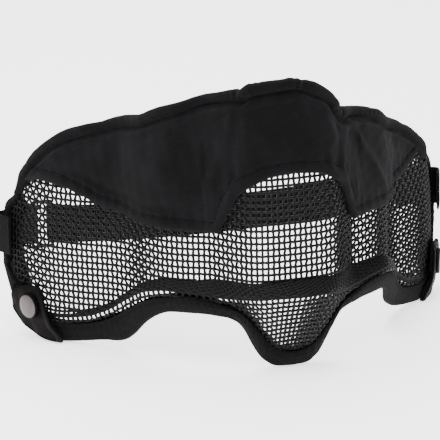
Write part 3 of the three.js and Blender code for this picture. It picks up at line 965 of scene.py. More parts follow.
@dataclass(frozen=True)
class RibbedWebbing(Finish):
    """Narrow woven webbing: ribs across its length, a flatter selvedge and fine threads along it."""

    rib: float = 0.7
    thread: float = 0.5
    along: float = 0.35
    relief: float = 0.00016
    sheen: float = 0.025

    def build(self, d: Dresser) -> bpy.types.Material:
        """The height is a rib's rounded crown across the length, cut by fine threads along it.

        Args:
            d: the material's dresser.

        Returns:
            The material.
        """
        u, v = d.cloth_place()
        rib = u.wave(self.rib) * 0.5 + 0.5
        thread = v.wave(self.thread) * 0.5 + 0.5
        slub = d.noise(2500, 3)
        cloud = d.noise(70, 3)
        height = rib * 0.8 + thread * self.along + slub * 0.35
        # Colour: lighter on the ribs' crowns and the threads' tops, a painted highlight, and darker in the
        # hollows between them, painted shade; the clouds and slubs are the webbing's own tone.
        light = rib * 0.4 + thread * 0.15 + cloud.ramp(0.3, 0.7) * 0.25 + slub * 0.25
        color = d.blend(light, scaled(self.color, 0.35), scaled(self.color, 1.65))
        return d.finish({
            "Base Color": color,
            "Roughness": self.roughness + 0.12 * (slub - 0.5),
            "Specular IOR Level": CLOTH_MIRROR,
            "Sheen Weight": self.sheen,
            "Sheen Roughness": 0.4,
            "Sheen Tint": SHEEN_TINT,
            "Normal": d.bump(height, self.relief, 0.9),
        })


@dataclass(frozen=True)
class Leather(Finish):
    """Soft leather: pebbled grain, pores and rubbed high places."""

    rubbed: tuple[float, float, float] = (0.05, 0.036, 0.032)
    shine: float = 0.06

    def build(self, d: Dresser) -> bpy.types.Material:
        """Cells make the pebbles, noise the wrinkles, and rubbing shows where both stand high.

        Args:
            d: the material's dresser.

        Returns:
            The material.
        """
        inputs = {"Vector": d.object_place(), "Scale": 1100.0}
        cells = d.add("TexVoronoi", {"feature": "DISTANCE_TO_EDGE"}, inputs)["Distance"]
        wrinkle = d.noise(420, 5)
        cloud = d.noise(90, 3)
        height = cells.ramp(0.0, 0.25) * 0.7 + wrinkle * 0.6
        worn = (cloud * 0.6 + wrinkle * 0.4).ramp(0.45, 0.68)
        color = d.blend(worn, self.color, self.rubbed)
        return d.finish({
            "Base Color": color,
            "Roughness": self.roughness - 0.12 * (worn - 0.5),
            "Specular IOR Level": self.shine,
            "Normal": d.bump(height, 0.00012, 0.8),
        })


@dataclass(frozen=True)
class Enamel(Finish):
    """Enamelled metal cap: satin, with faint clouding and fine scratches."""

    metallic: float = 0.35

    def build(self, d: Dresser) -> bpy.types.Material:
        """Clouding in the colour and scratches in the roughness.

        Args:
            d: the material's dresser.

        Returns:
            The material.
        """
        cloud = d.noise(300, 4)
        scratch = d.noise(2600, 2)
        color = d.blend(cloud.ramp(0.3, 0.7), scaled(self.color, 0.88), scaled(self.color, 1.08))
        return d.finish({
            "Base Color": color,
            "Roughness": self.roughness + 0.2 * (scratch - 0.5),
            "Metallic": self.metallic,
            "Coat Weight": 0.15 * cloud,
            "Normal": d.bump(scratch, 0.00002, 0.4),
        })


@dataclass(frozen=True)
class Thread(Finish):
    """Sewing thread: two plies twisted round each other."""

    def build(self, d: Dresser) -> bpy.types.Material:
        """The plies are waves on a slope of Object coordinates.

        Args:
            d: the material's dresser.

        Returns:
            The material.
        """
        place = d.add("SeparateXYZ", None, {0: d.object_place()})
        ply = ((place["X"] + place["Y"] + place["Z"]) * 1000).wave(0.55)
        # Colour: lighter on each ply's crown, a painted highlight, and darker in the groove between plies,
        # painted shade.
        color = d.blend(ply * 0.5 + 0.5, scaled(self.color, 0.7), scaled(self.color, 1.3))
        return d.finish({
            "Base Color": color,
            "Roughness": self.roughness,
            "Specular IOR Level": CLOTH_MIRROR,
            "Normal": d.bump(ply, 0.00006, 0.7),
        })


# One black coated wire in lit and shaded copies: the cross wires' finish is lighter, a painted highlight for
# the light their upper sides catch from above, and the uprights' finish darker, painted shade.
WIRE = CoatedWire("black coated wire", (0.0027, 0.0027, 0.0030), 0.48)
# The rim wire's finish is a darker copy of the same wire: painted shade, so that the rim's row does not show
# bright where it catches the floor's glow.
RIM_WIRE_PAINTED_SHADE = CoatedWire("black coated rim wire", (0.0007, 0.0007, 0.0008), 0.7)
UPRIGHT_WIRE_PAINTED_SHADE = CoatedWire("black coated upright wire", (0.0013, 0.0013, 0.0015), 0.55)
RING_WIRE = CoatedWire("black loop wire", (0.006, 0.006, 0.0065), 0.36, metallic=0.3)
CLOTH = WovenCloth("black padded cloth", (0.0046, 0.0046, 0.0051), 0.92)
TAPE_CLOTH = RibbedWebbing("black edge tape", (0.0036, 0.0036, 0.0039), 0.88, relief=0.0003)
TAB_CLOTH = RibbedWebbing("black tab webbing", (0.0036, 0.0036, 0.0039), 0.88, rib=1.1, thread=0.8)
# The elastic's own black, made darker still as painted shade for the shadow that the strap lies in behind the
# net.
ELASTIC_PAINTED_SHADE = RibbedWebbing(
    "black elastic", (0.0031, 0.0031, 0.0034), 0.92, rib=1.5, thread=1.05, along=0.8, relief=0.0003
)
LEATHER = Leather("brown-black leather", (0.0020, 0.0016, 0.0015), 0.7, rubbed=(0.0062, 0.0040, 0.0034))
LEATHER_EDGE = Leather(
    "black leather edge", (0.0013, 0.0012, 0.0012), 0.5, rubbed=(0.0026, 0.0026, 0.0025), shine=0.07
)
CAP_ENAMEL = Enamel("pinkish grey enamel", (0.070, 0.054, 0.056), 0.46)
THREAD = Thread("black thread", (0.0022, 0.0022, 0.0024), 0.9)


# ---- pieces -----------------------------------------------------------------------------------------------
def runs(mask: Array) -> list[tuple[int, int]]:
    """The first and last index of each stretch of a mask that is true."""
    edges = np.flatnonzero(np.diff(np.concatenate([[0], mask.astype(int), [0]])))
    return [(int(a), int(b) - 1) for a, b in zip(edges[::2], edges[1::2])]


@dataclass
class WireNet:
    """The woven wire: uprights at even distances along the wall, and cross wires over and under them."""

    across: float = 2.28
    rise: float = 2.62
    ledge_rise: float = 1.0
    radius: float = 0.56
    upright_wave: float = 0.82
    cross_wave: float = 0.30
    sides: int = 6
    past_top: float = 2.2
    sharp: float = 80.0
    rear_clear: float = 1.2
    hem_press: float = 1.5
    press_over: float = 2.5
    pressed_flat: float = 0.3
    well_clear: float = 99.0
    columns: Array = field(init=False)

    def __post_init__(self) -> None:
        """Spaces the uprights."""
        half = int((FORM.fine_arc[-1] - self.rear_clear) / self.across)
        self.columns = np.arange(-half, half + 1)

    def _wave(
        self, column: Array, row: Array | int, crease: Array, level: Array, amount: float
    ) -> Array:
        """How far a wire stands off the middle: cos(pi (column + row)), damped near a crease.

        Args:
            column: the numbers of the uprights, or places between them.
            row: the numbers of the cross wires, or places between them, or one wire's number.
            crease: the distance to the nearest crease.
            level: the level of each point.
            amount: how far the wire stands off at most, anywhere but on the ledge.

        Returns:
            Heights in millimetres.
        """
        amount = np.where((level > 0.999) & (level < 1.999), self.radius, amount)
        return amount * np.cos(math.pi * (column + row)) * smooth_step(crease / self.rise)

    def _pressed(self, bare: Array) -> Array:
        """How flat the tape or the hem presses a wire: by its distance from what lies bare."""
        return self.pressed_flat + (1 - self.pressed_flat) * smooth_step(bare / self.press_over)

    @staticmethod
    def _spans(side: Array) -> tuple[Array, Array, Array, Array]:
        """The net's measures at some sides.

        Args:
            side: signed distances from the middle plane.

        Returns:
            The widths of the part below the rim and of the ledge, and the heights of the wall's foot and top.
        """
        rim, low, foot = FORM.rim(side), FORM.low(side), FORM.foot(side)
        widths = np.linalg.norm(rim - low, axis=-1), np.linalg.norm(foot - rim, axis=-1)
        return *widths, FORM.rib["foot_up"](np.abs(side)), FORM.net_top(side)

    def uprights(self) -> bpy.types.Object:
        """The upright wires, from the lower edge over the ledge and up the wall into the hem.

        Returns:
            The piece.
        """
        parts = MeshParts()
        half = self.rise / 2
        sides = FORM.side_at(self.columns * self.across)
        flange_long, ledge_long, foot_up, top = self._spans(sides)
        for i, side in enumerate(sides):
            down = np.arange(half, flange_long[i] - 0.3, half)[::-1]
            over = np.arange(0, ledge_long[i] - 0.3, self.ledge_rise / 2)
            first, last = math.ceil((foot_up[i] + 0.6) / half), math.floor((top[i] - 0.5) / half)
            heights = np.arange(first, last + 1) * half
            level = np.concatenate([
                [0.0], 1 - down / flange_long[i], 1 + over / ledge_long[i],
                [2.0], 2 + (heights - foot_up[i]) / (top[i] - foot_up[i]), [3.0],
            ])
            row = np.concatenate([
                [0.0], -down / self.rise, over / self.ledge_rise, [0.0], heights / self.rise, [0.0],
            ])
            crease = np.concatenate([[0.0], down, over, [0.0], heights - foot_up[i], [0.0]])
            above = np.full(len(heights) + 2, self.well_clear)
            from_low = np.concatenate([[0.0], flange_long[i] - down, flange_long[i] + over, above])
            from_top = np.where(level > 2, (3 - level) * (top[i] - foot_up[i]), self.well_clear)
            from_rear = FORM.fine_arc[-1] - abs(self.columns[i]) * self.across
            from_tape = np.minimum(from_low - TAPE_LEG, from_rear - TAPE_LEG - 0.6)
            bare = np.minimum(from_tape, from_top - self.hem_press)
            wave = self._wave(self.columns[i], row, crease, level, self.upright_wave) * self._pressed(bare)
            out = FORM.outward(side, level)
            path = FORM.net(side, level) + out * wave[:, None]
            past = self.past_top if HEM_REAR[0] < side < HEM_REAR[1] else 0.5
            end = path[-1] + unit(path[-1] - path[-2]) * past
            path, out = np.vstack([path, end]), np.vstack([out, out[-1:]])
            parts.add(tube(path, out, self.radius, self.sides))
        # the uprights take the darker copy of the wire's finish: painted shade
        return place_piece(parts.write("upright_wires", UPRIGHT_WIRE_PAINTED_SHADE, self.sharp), "wire", "mesh_shell")

    def _add_row(
        self, parts: MeshParts, column: Array, is_there: Array, level: Array, row: int, crease: Array
    ) -> None:
        """Adds the stretches of one cross wire.

        Args:
            parts: the mesh that takes them.
            column: the wire's places between the uprights.
            is_there: which of them the wire reaches.
            level: its level at each.
            row: its number, which sets on which side it passes an upright.
            crease: its distance to the nearest crease at each.
        """
        side = FORM.side_at(column * self.across)
        for first, final in runs(is_there):
            first, final = max(first - 1, 0), min(final + 1, len(side) - 1)
            if final - first < 3:
                continue
            cut = slice(first, final + 1)
            gap = np.maximum(crease[cut], 0.9)
            wave = -self._wave(column[cut], row, gap, level[cut], self.cross_wave)
            out = FORM.outward(side[cut], level[cut])
            path = FORM.net(side[cut], level[cut]) + out * wave[:, None]
            parts.add(tube(path, out, self.radius, self.sides))

    def cross_wires(self) -> bpy.types.Object:
        """The cross wires: level rows on the wall, and rows along the rim on the ledge and under it.

        Returns:
            The piece; the rim's wire is written as a second one, in a darker copy of the wire's finish:
            painted shade.
        """
        parts, rim_row_painted_shade = MeshParts(), MeshParts()
        last = self.columns[-1]
        column = np.arange(-2 * last, 2 * last + 1) / 2
        column = np.concatenate([[-last - 0.45], column, [last + 0.45]])
        side = FORM.side_at(column * self.across)
        flange_long, ledge_long, foot_up, top = self._spans(side)
        for k in range(math.floor(foot_up.min() / self.rise), math.ceil(top.max() / self.rise) + 1):
            up = k * self.rise
            level = np.clip(2 + (up - foot_up) / (top - foot_up), 2.0, 3.0)
            self._add_row(parts, column, (up > foot_up + 0.5) & (up < top + 0.2), level, k, up - foot_up)
        everywhere = np.ones(len(side), bool)
        self._add_row(parts, column, everywhere, np.full_like(side, 2.0), 0, np.full_like(side, 1.3))
        # the ledge's first row, at the rim, goes into its own mesh for the darker finish: painted shade
        for k in range(int(ledge_long.max() / self.ledge_rise) + 1):
            far = k * self.ledge_rise + (0.25 if k == 0 else 0)
            level = 1 + np.minimum(far / ledge_long, 1)
            crease = np.full_like(side, far + 1e-3)
            self._add_row(parts if k else rim_row_painted_shade, column, far < ledge_long - 0.6, level, k, crease)
        for k in range(1, int(flange_long.max() / self.rise) + 1):
            far = k * self.rise
            level = 1 - np.minimum(far / flange_long, 1)
            self._add_row(parts, column, far < flange_long - 0.8, level, -k, np.full_like(side, far))
        place_piece(rim_row_painted_shade.write("rim_wire", RIM_WIRE_PAINTED_SHADE, self.sharp), "wire")
        # the cross wires take the lighter copy of the wire's finish: painted highlight
        return place_piece(parts.write("cross_wires", WIRE, self.sharp), "wire")


@dataclass(frozen=True)
class Crease:
    """A fold in the cloth along a line of (side, up) points."""

    points: tuple[tuple[float, float], ...]
    depth: float
    wide: float
    shoulder: float = 0.5


@dataclass
class ClothUpper:
    """The padded cloth over the upper part: an inner and an outer face, joined round their edges."""

    inner: float = SHEET_HALF + SEAT
    thick: float = 2.2
    across: int = 470
    upward: int = 84
    inner_step: int = 6
    past_top: float = 1.1
    seam_in: float = 4.8
    stitch_pitch: float = 2.9
    pillow: float = 0.9
    border: float = 0.35
    seam_groove: float = 0.42
    top_shoulder: float = 0.75
    top_sink: float = 1.2
    pucker: float = 0.16
    pucker_pitch: float = 5.2
    edge_round: float = 1.3
    edge_thin: float = 0.35
    creases: tuple[Crease, ...] = (
        Crease(((10.5, 116), (12.7, 112), (14.1, 104.5), (15.8, 98), (17.6, 91)), 0.5, 2.2),
        Crease(((17.5, 109), (18.6, 98), (18.4, 88), (17.6, 80)), -0.65, 2.0),
        Crease(((9, 95), (13.7, 91.3), (14.6, 85)), 0.35, 1.4),
        Crease(((24, 101), (21.8, 93.4), (21, 86), (20.8, 78), (23, 68)), 0.42, 2.0),
        Crease(((25.4, 97), (28, 86), (32, 76), (37, 67)), -0.6, 3.2),
        Crease(((26, 103), (28, 97), (34.1, 86.6), (39.8, 77), (44.4, 68.8), (48, 61)), 0.95, 2.0),
        Crease(((35, 100), (38.7, 91), (40.4, 82), (43, 73)), 0.32, 3.4),
        Crease(((62, 75.5), (54, 76), (47, 72)), 0.32, 3.2),
        Crease(((48, 93), (49.6, 87), (51.2, 80), (51.6, 70)), -0.6, 4.2),
        Crease(((-40, 108), (-44, 96), (-54, 84)), 0.4, 4.5),
        Crease(((-60, 96), (-66, 88), (-80, 80)), -0.6, 3.4),
        Crease(((-22, 112), (-24, 98), (-26, 84), (-30, 70)), 0.5, 3.0),
        Crease(((-86, 77), (-72, 75), (-58, 69), (-40, 66)), -0.5, 2.2),
    )
    outer: Array = field(init=False)
    edge: Array = field(init=False)

    def _relief(self, side: Array, up: Array, edge: Array, top: Array) -> Array:
        """How far the outer face stands off its even thickness.

        Args:
            side: each point's side.
            up: its height.
            edge: its distance from the lower edge.
            top: its distance from the top seam.

        Returns:
            Heights in millimetres: a pillow between the seams, a groove along each, folds and soft waves.
        """
        arc = FORM.arc(side)
        past_seam = np.maximum(edge - self.seam_in, 0)
        pillow = self.pillow * (1 - bell(past_seam, 8)) * (1 - bell(top, 7))
        border = self.border * np.sin(math.pi * np.clip(edge / self.seam_in, 0, 1))
        shoulder = self.top_shoulder * bell(top - 2.3, 1.5) - self.top_sink * bell(np.maximum(top, 0), 0.9)
        groove = border + shoulder - self.seam_groove * bell(edge - self.seam_in, 0.9)
        pucker = self.pucker * np.cos(arc * 2 * math.pi / self.pucker_pitch + 0.6 * np.sin(arc * 0.21))
        pucker = pucker * bell(edge - self.seam_in, 2.2)
        waves = 0.22 * np.sin(arc * 0.31 + up * 0.12 + 1.3) * np.sin(up * 0.24 - arc * 0.07)
        waves = waves + 0.12 * np.sin(arc * 0.83 - up * 0.35 + 0.4) * np.sin(up * 0.61 + arc * 0.18 + 2.0)
        height = pillow + groove + pucker + waves * smooth_step(edge / 6)
        for crease in self.creases:
            height = height + self._fold(crease, arc, up)
        return height

    @staticmethod
    def _fold(crease: Crease, arc: Array, up: Array) -> Array:
        """A fold's height: depth times a bell of the distance to its line, fading out at its ends.

        Args:
            crease: the fold.
            arc: each point's distance along the wall's plan.
            up: each point's height.

        Returns:
            Heights in millimetres.
        """
        line = np.array(crease.points, float)
        line[:, 0] = FORM.arc(line[:, 0])
        best = np.full(arc.shape, 1e9)
        share = np.zeros(arc.shape)
        run = lengths(line)
        for (ax, ay), (bx, by), start, end in zip(line[:-1], line[1:], run[:-1], run[1:]):
            dx, dy = bx - ax, by - ay
            t = np.clip(((arc - ax) * dx + (up - ay) * dy) / (dx * dx + dy * dy), 0, 1)
            away = np.hypot(arc - ax - t * dx, up - ay - t * dy)
            share = np.where(away < best, (start + t * (end - start)) / run[-1], share)
            best = np.minimum(best, away)
        fade = smooth_step(np.minimum(share, 1 - share) * 5 + 0.15)
        shoulder = crease.shoulder * bell(best - 2 * crease.wide, 1.2 * crease.wide)
        return crease.depth * fade * (bell(best, crease.wide) - 0.5 * shoulder)

    def build(self) -> bpy.types.Object:
        """The cloth, as rings from the lower edge up its outer face and down its inner face.

        Returns:
            The piece.
        """
        side = np.linspace(*CLOTH_REAR, self.across)[:, None]
        share = np.linspace(0, 1, self.upward) ** 1.15
        s = np.abs(side)
        foot_up, top_up = FORM.rib["foot_up"](s), FORM.net_top(side)
        edge_up = FORM.cloth_edge(s)
        up = edge_up + (top_up + self.past_top - edge_up) * share[None, :]
        level = 2 + (np.minimum(up, top_up) - foot_up) / (top_up - foot_up)
        bridge = sum(lump.high * bell(s - lump.side, lump.wide) for lump in CLOTH_BRIDGES)
        slope = np.gradient(edge_up[:, 0], FORM.arc(side[:, 0]))[:, None]
        edge = (up - edge_up) / np.sqrt(1 + slope**2)
        top = top_up - up
        arc, arc_ends = FORM.arc(side), FORM.arc(np.array(CLOTH_REAR))
        ends = np.minimum(arc - arc_ends[0], arc_ends[1] - arc)
        crown = rounded(np.minimum(edge, ends) / self.edge_round)
        relief = self._relief(np.broadcast_to(side, up.shape), up, edge, top)
        body = (self.thick + relief * smooth_step(edge / 2)) * (self.edge_thin + (1 - self.edge_thin) * crown)
        beyond = np.maximum(up - top_up, 0)[..., None] * np.array([0, 0, 1.0])
        outer = FORM.off(side, level, self.inner + bridge + body) + beyond
        inner = FORM.off(side, level, self.inner - 0.25 + bridge) + beyond
        place = np.stack([np.broadcast_to(arc, up.shape), up], axis=-1)
        parts = two_faced(outer, inner, place, self.inner_step)
        self.outer, self.edge = outer, edge
        piece = place_piece(parts.write("cloth_upper", CLOTH, 60), "cloth", "fabric_cover")
        return piece

    def seam(self) -> bpy.types.Object:
        """The row of stitches along the lower edge.

        Returns:
            The piece.
        """
        line, near = self._line_at(self.seam_in), self._line_at(self.seam_in + 0.8)
        run, near_run = lengths(line), lengths(near)
        at = even_places(run[-1], self.stitch_pitch)
        centre, ahead = on_line(at, run, line), on_line(at + STITCH_AHEAD, run, line)
        beside = on_line(at, near_run * run[-1] / near_run[-1], near)
        along = unit(ahead - centre)
        out = unit(np.cross(along, beside - centre))
        out = np.where(out[:, 1:2] > 0.6, -out, out)
        parts = MeshParts()
        add_stitches(parts, centre, along, out, half=1.0, sink=0.03)
        return place_piece(parts.write("cloth_seam_stitches", THREAD), "cloth")

    def _line_at(self, inward: float) -> Array:
        """A line on the outer face, along the lower edge.

        Args:
            inward: how far in from the edge it lies.

        Returns:
            Its points.
        """
        column = [np.interp(inward, row, np.arange(len(row))) for row in self.edge]
        column = np.clip(column, 0, self.upward - 1.001)
        low = np.floor(column).astype(int)
        t = (column - low)[:, None]
        rows = np.arange(len(column))
        return self.outer[rows, low] * (1 - t) + self.outer[rows, low + 1] * t


@dataclass
class RolledHem:
    """The hem rolled over the top edge: a soft section carried along it, with wrinkles across."""

    inner: float = -1.8
    outer: float = 4.2
    past_near: float = 7.4
    past_far: float = 6.4
    taper: float = 13.0
    count: int = 760
    around: int = 40
    stitch_pitch: float = 3.1
    lumps: tuple[Lump, ...] = (
        Lump(-20.5, -0.9, 1.6),
        Lump(-16.0, 0.5, 3.0),
        Lump(3.8, -0.55, 1.5),
        Lump(8.5, 0.45, 3.0),
        Lump(-48.0, 0.4, 9.0),
        Lump(-63.0, -0.45, 4.0),
        Lump(22.4, -0.9, 1.4),
        Lump(27.0, 0.6, 3.2),
        Lump(41.0, -0.5, 2.0),
        Lump(45.5, 0.45, 3.0),
        Lump(66.0, -0.5, 3.0),
    )
    pleats: tuple[Lump, ...] = (
        Lump(-21.0, 0.5),
        Lump(-16.0, 0.35),
        Lump(2.5, 0.4),
        Lump(19.0, 0.35),
        Lump(23.0, 0.5),
        Lump(40.0, 0.3),
    )
    pleat_pitch: float = 2.6
    gather: float = 0.07
    boxiness: float = 0.72
    pinch: float = 1.15
    end_round: float = 1.6
    end_thin: float = 0.42
    sink: float = 0.9
    rise: float = HEM_LIFT + 0.65
    rings: Array = field(init=False)
    run: Array = field(init=False)

    def build(self) -> bpy.types.Object:
        """The hem's rings: a rounded box whose width and height swell and gather along the edge.

        Returns:
            The piece.
        """
        ends = FORM.arc(np.array(HEM_REAR)) + np.array([-self.past_near, self.past_far])
        side = FORM.side_at(np.linspace(*ends, self.count))
        point = FORM.net(side, 3.0)
        along = unit(np.gradient(point, axis=0))
        out = square_to(FORM.outward(side, 3.0), along)
        away = np.cross(along, out)
        away = np.where(away[:, 2:] < 0, -away, away)
        run = lengths(point)
        angle = np.linspace(0, 2 * math.pi, self.around, endpoint=False)[None, :]
        t = run[:, None]
        gather = self.gather * np.sin(t * 1.35 + 0.9 * np.sin(t * 0.17))
        gather = gather * (0.6 + 0.4 * np.sin(t * 0.09 + 1.0))
        arc = FORM.arc(side)[:, None]
        swell = 0.16 * np.sin(t * 0.11 + 0.5) + 0.1 * np.sin(t * 0.27 + 2.0)
        swell = swell + sum(lump.high * bell(arc - FORM.arc(lump.side), lump.wide) for lump in self.lumps)
        for pleat in self.pleats:
            away_from = arc - FORM.arc(pleat.side)
            ripple = np.cos(2 * math.pi * away_from / self.pleat_pitch)
            gather = gather + pleat.high * bell(away_from, pleat.wide) * ripple
        middle, wide = (self.outer + self.inner) / 2, (self.outer - self.inner) / 2
        c, s = np.cos(angle), np.sin(angle)
        x = middle + wide * boxed(c, self.boxiness) * (1 + 0.05 * swell)
        y = HEM_HIGH / 2 * (1 + boxed(s, self.boxiness))
        crown = np.clip(y / HEM_HIGH, 0, 1)
        x = x + (gather * (0.25 + 0.75 * crown) + 0.35 * swell * crown) * boxed(c, 0.5)
        y = y + (0.45 * gather + swell * 0.8) * crown**2
        x = np.where(c > 0, x - self.pinch * bell(crown, 0.3) * np.abs(c) ** 0.3, x)
        end = np.minimum(run, run[-1] - run)[:, None]
        full = smooth_step(end / self.taper)
        round_end = rounded(end / self.end_round, 0.04) * (self.end_thin + (1 - self.end_thin) * full)
        x = middle + (x - middle) * round_end
        y = y * round_end - self.sink + self.rise * full
        rings = point[:, None] + out[:, None] * x[..., None] + away[:, None] * y[..., None]
        parts = MeshParts()
        parts.add(rings, ring_places(rings))
        self.rings, self.run = rings, run
        piece = place_piece(parts.write("rolled_hem", CLOTH, 70), "cloth", "top_hem")
        return piece

    def seam(self) -> bpy.types.Object:
        """The stitches that hold the hem down, low on its outer face and on its inner face.

        Returns:
            The piece.
        """
        parts = MeshParts()
        at = even_places(self.run[-1], self.stitch_pitch)
        inside = on_line(at, self.run, self.rings.mean(axis=1))
        for column in (round(self.around * 0.94), round(self.around * 0.56)):
            line = self.rings[:, column]
            centre, ahead = on_line(at, self.run, line), on_line(at + STITCH_AHEAD, self.run, line)
            add_stitches(parts, centre, unit(ahead - centre), unit(centre - inside), half=1.05, sink=0.07)
        return place_piece(parts.write("hem_stitches", THREAD), "cloth")


@dataclass
class TapeSection:
    """Lines of points that run along the tape, collected one after another round its section."""

    point: Array
    out: Array
    away: Array
    leg: Array
    leg_out: Array
    sag: Array
    reach: dict[int, Array]
    rows: list[Array] = field(default_factory=list)

    def add_leg(self, shares: Array, face: int, height: Callable[[float], Array]) -> None:
        """Adds lines on one leg.

        Args:
            shares: each line's share of the way from the fold to the leg's end.
            face: 1 for the outer leg and -1 for the inner one.
            height: how far off the net the line at a share lies, at each place along the tape.
        """
        for t in shares:
            far = t * self.reach[face]
            base = self.point * (1 - far) + self.leg * far + self.away * self.sag * (1 - t) ** 2
            direction = unit(self.out * (1 - far) + self.leg_out * far) * face
            self.rows.append(base + direction * height(t)[:, None])

    def add_fold(self, steps: int, off: Array, deeper: Array, pucker: Array) -> None:
        """Adds lines round the outside of the fold, from the outer leg to the inner one.

        Args:
            steps: how many steps the half turn takes.
            off: how far out the fold stands at each place along the tape.
            deeper: how much more it stands away from the net's edge.
            pucker: what its puckers add to that.
        """
        for angle in np.linspace(0, math.pi, steps + 1)[1:-1]:
            x, y = boxed(math.cos(angle), 0.8), boxed(math.sin(angle), 0.8)
            down = (off + deeper) * y + pucker + self.sag
            self.rows.append(self.point + self.out * (off * x) + self.away * down)


@dataclass
class EdgeTape:
    """The tape folded over the lower and rear edges: two legs that lie on the net and a fold between them."""

    leg_off: float = 1.0
    thick: float = 1.15
    times: int = 5
    rear_outer: float = 0.34
    rear_inner: float = 1.35
    flat_wide: float = 18.0
    sag_at: float = -59.5
    sag: float = 2.3
    sag_wide: float = 5.0
    pucker: float = 0.1
    pucker_pitch: float = 3.1
    lip: float = 0.55
    groove: float = 0.3
    groove_at: float = 0.78
    crown: float = 0.15
    end_thin: float = 0.4
    stitch_pitch: float = 3.0
    stitch_columns: tuple[int, int] = (2, 26)
    rings: Array = field(init=False)

    def _path(self) -> tuple[Array, ...]:
        """The edge's places, from the near ear's hem down, along the lower edge and up to the far one's.

        Returns:
            Side, level, the leg's direction in both, and whether it is square to the edge.
        """
        sides = np.linspace(-REAR, REAR, round(2 * REAR / 2.8) + 1)
        rows = []

        def above(sign: int, rear: float) -> list[tuple]:
            """The top edge behind the hem.

            Args:
                sign: the side's sign.
                rear: the side where the hem ends.

            Returns:
                Rows of places.
            """
            start, end = rear + TAPE_END, REAR - 1.6
            count = max(1, round((end - start) / 1.6))
            return [(sign * s, 3, 0, -0.1, 1) for s in np.linspace(start, end, count + 1)]

        def behind(sign: int) -> list[tuple]:
            """The rear edge, downwards, on the side of a sign."""
            return [(sign * REAR, level, -2 * sign, 0, 1) for level in (3, 2.7, 2.45, 2.2, 2, 1)]

        rows += above(-1, -HEM_REAR[0]) + behind(-1)
        rows += [(s, 0, 0, 0.3, float(abs(s) > LOBE_END)) for s in sides]
        rows += behind(1)[::-1] + above(1, HEM_REAR[1])[::-1]
        return tuple(np.array(rows, float).T)

    def _frames(self) -> dict[str, Array]:
        """The edge's points and directions and the legs' feet, as the tape's solid has them.

        Returns:
            Rows of points or directions by name.
        """
        side, level, in_side, in_level, is_square = self._path()
        point = FORM.net(side, level)
        before = np.maximum(np.arange(len(side)) - 1, 0)
        after = np.minimum(np.arange(len(side)) + 1, len(side) - 1)
        along = unit(point[after] - point[before])
        out = square_to(FORM.outward(side, level), along)
        away = np.cross(along, out)

        def depth(reach: Array) -> Array:
            """How far in from the edge the net lies.

            Args:
                reach: how far in side or level each place has moved.

            Returns:
                Distances, negative where they lead out.
            """
            inner = FORM.net(side + in_side * reach, level + in_level * reach)
            return np.sum((inner - point) * away, axis=-1)

        away = np.where(depth(np.ones_like(side))[:, None] > 0, -away, away)
        reach = np.ones_like(side)
        for _ in range(6):
            reach = reach * TAPE_LEG / np.abs(depth(reach))
        foot_side, foot_level = side + in_side * reach, level + in_level * reach
        near_side, near_level = FORM.nearest(point - away * TAPE_LEG, side, level)
        foot_side = np.where(is_square > 0, near_side, foot_side)
        foot_level = np.where(is_square > 0, near_level, foot_level)
        return {
            "point": point,
            "out": out,
            "away": away,
            "leg": smoothed(FORM.net(foot_side, foot_level), 5),
            "leg_out": FORM.outward(foot_side, foot_level),
            "is_rear": ((level > 0) | (np.abs(side) > REAR - 1)).astype(float)[:, None],
            "sag": (self.sag * bell(side - self.sag_at, self.sag_wide) * (level == 0))[:, None],
        }

    def build(self) -> bpy.types.Object:
        """The tape's rings: up the outer leg, round the fold, down the inner leg and back inside.

        Returns:
            The piece.
        """
        fine = {name: catmull(rows, self.times) for name, rows in self._frames().items()}
        is_rear = fine.pop("is_rear")
        for name in ("out", "away", "leg_out"):
            fine[name] = unit(fine[name])
        reach = {1: 1 + (self.rear_outer - 1) * is_rear, -1: 1 + (self.rear_inner - 1) * is_rear}
        section = TapeSection(**fine, reach=reach)
        run = lengths(section.point)
        pucker = self.pucker * np.sin(run * 2 * math.pi / self.pucker_pitch) + 0.08 * np.sin(run * 0.37)
        full = smooth_step((np.minimum(run, run[-1] - run) - 8) / 16)
        outer = self.leg_off + self.thick * (self.end_thin + (1 - self.end_thin) * full)

        def outer_height(t: float) -> Array:
            """The outer surface: a rounded lip at the leg's end, a groove at the stitches and puckers.

            Args:
                t: the share of the way from the fold to the leg's end.

            Returns:
                Its height at each place along the tape.
            """
            lip = self.lip * max(0.0, (t - 0.93) / 0.07) ** 2
            groove = self.groove * bell(t - self.groove_at, 0.07)
            return outer - lip - groove + self.crown * math.sin(math.pi * t) + pucker * (0.4 + 0.6 * t)

        def inner_height(t: float) -> Array:
            """The inner surface, at one height."""
            return np.full_like(run, self.leg_off)

        outer_shares, inner_shares = np.linspace(1, 0, 9), np.linspace(0.985, 0.0, 5)
        section.add_leg(outer_shares, 1, outer_height)
        section.add_fold(12, outer[:, None], 0.3 * full[:, None], 0.06 * pucker[:, None])
        section.add_leg(outer_shares[::-1], -1, outer_height)
        section.add_leg(inner_shares, -1, inner_height)
        section.rows.append(section.point + section.away * (0.9 + section.sag))
        section.add_leg(inner_shares[::-1], 1, inner_height)
        rings = np.stack(section.rows, axis=1)
        rings[..., 2] = np.maximum(rings[..., 2], 0.0)
        along = np.broadcast_to(run[:, None], (len(run), rings.shape[1] + 1))
        around = lengths(np.concatenate([rings, rings[:, :1]], axis=1), axis=1).mean(axis=0)
        uv = np.stack([along, np.broadcast_to(around, along.shape)], axis=-1)
        parts = MeshParts()
        parts.add(rings, uv)
        self.rings = rings
        piece = place_piece(parts.write("edge_tape", TAPE_CLOTH, 60), "webbing", "bottom_binding")
        return piece

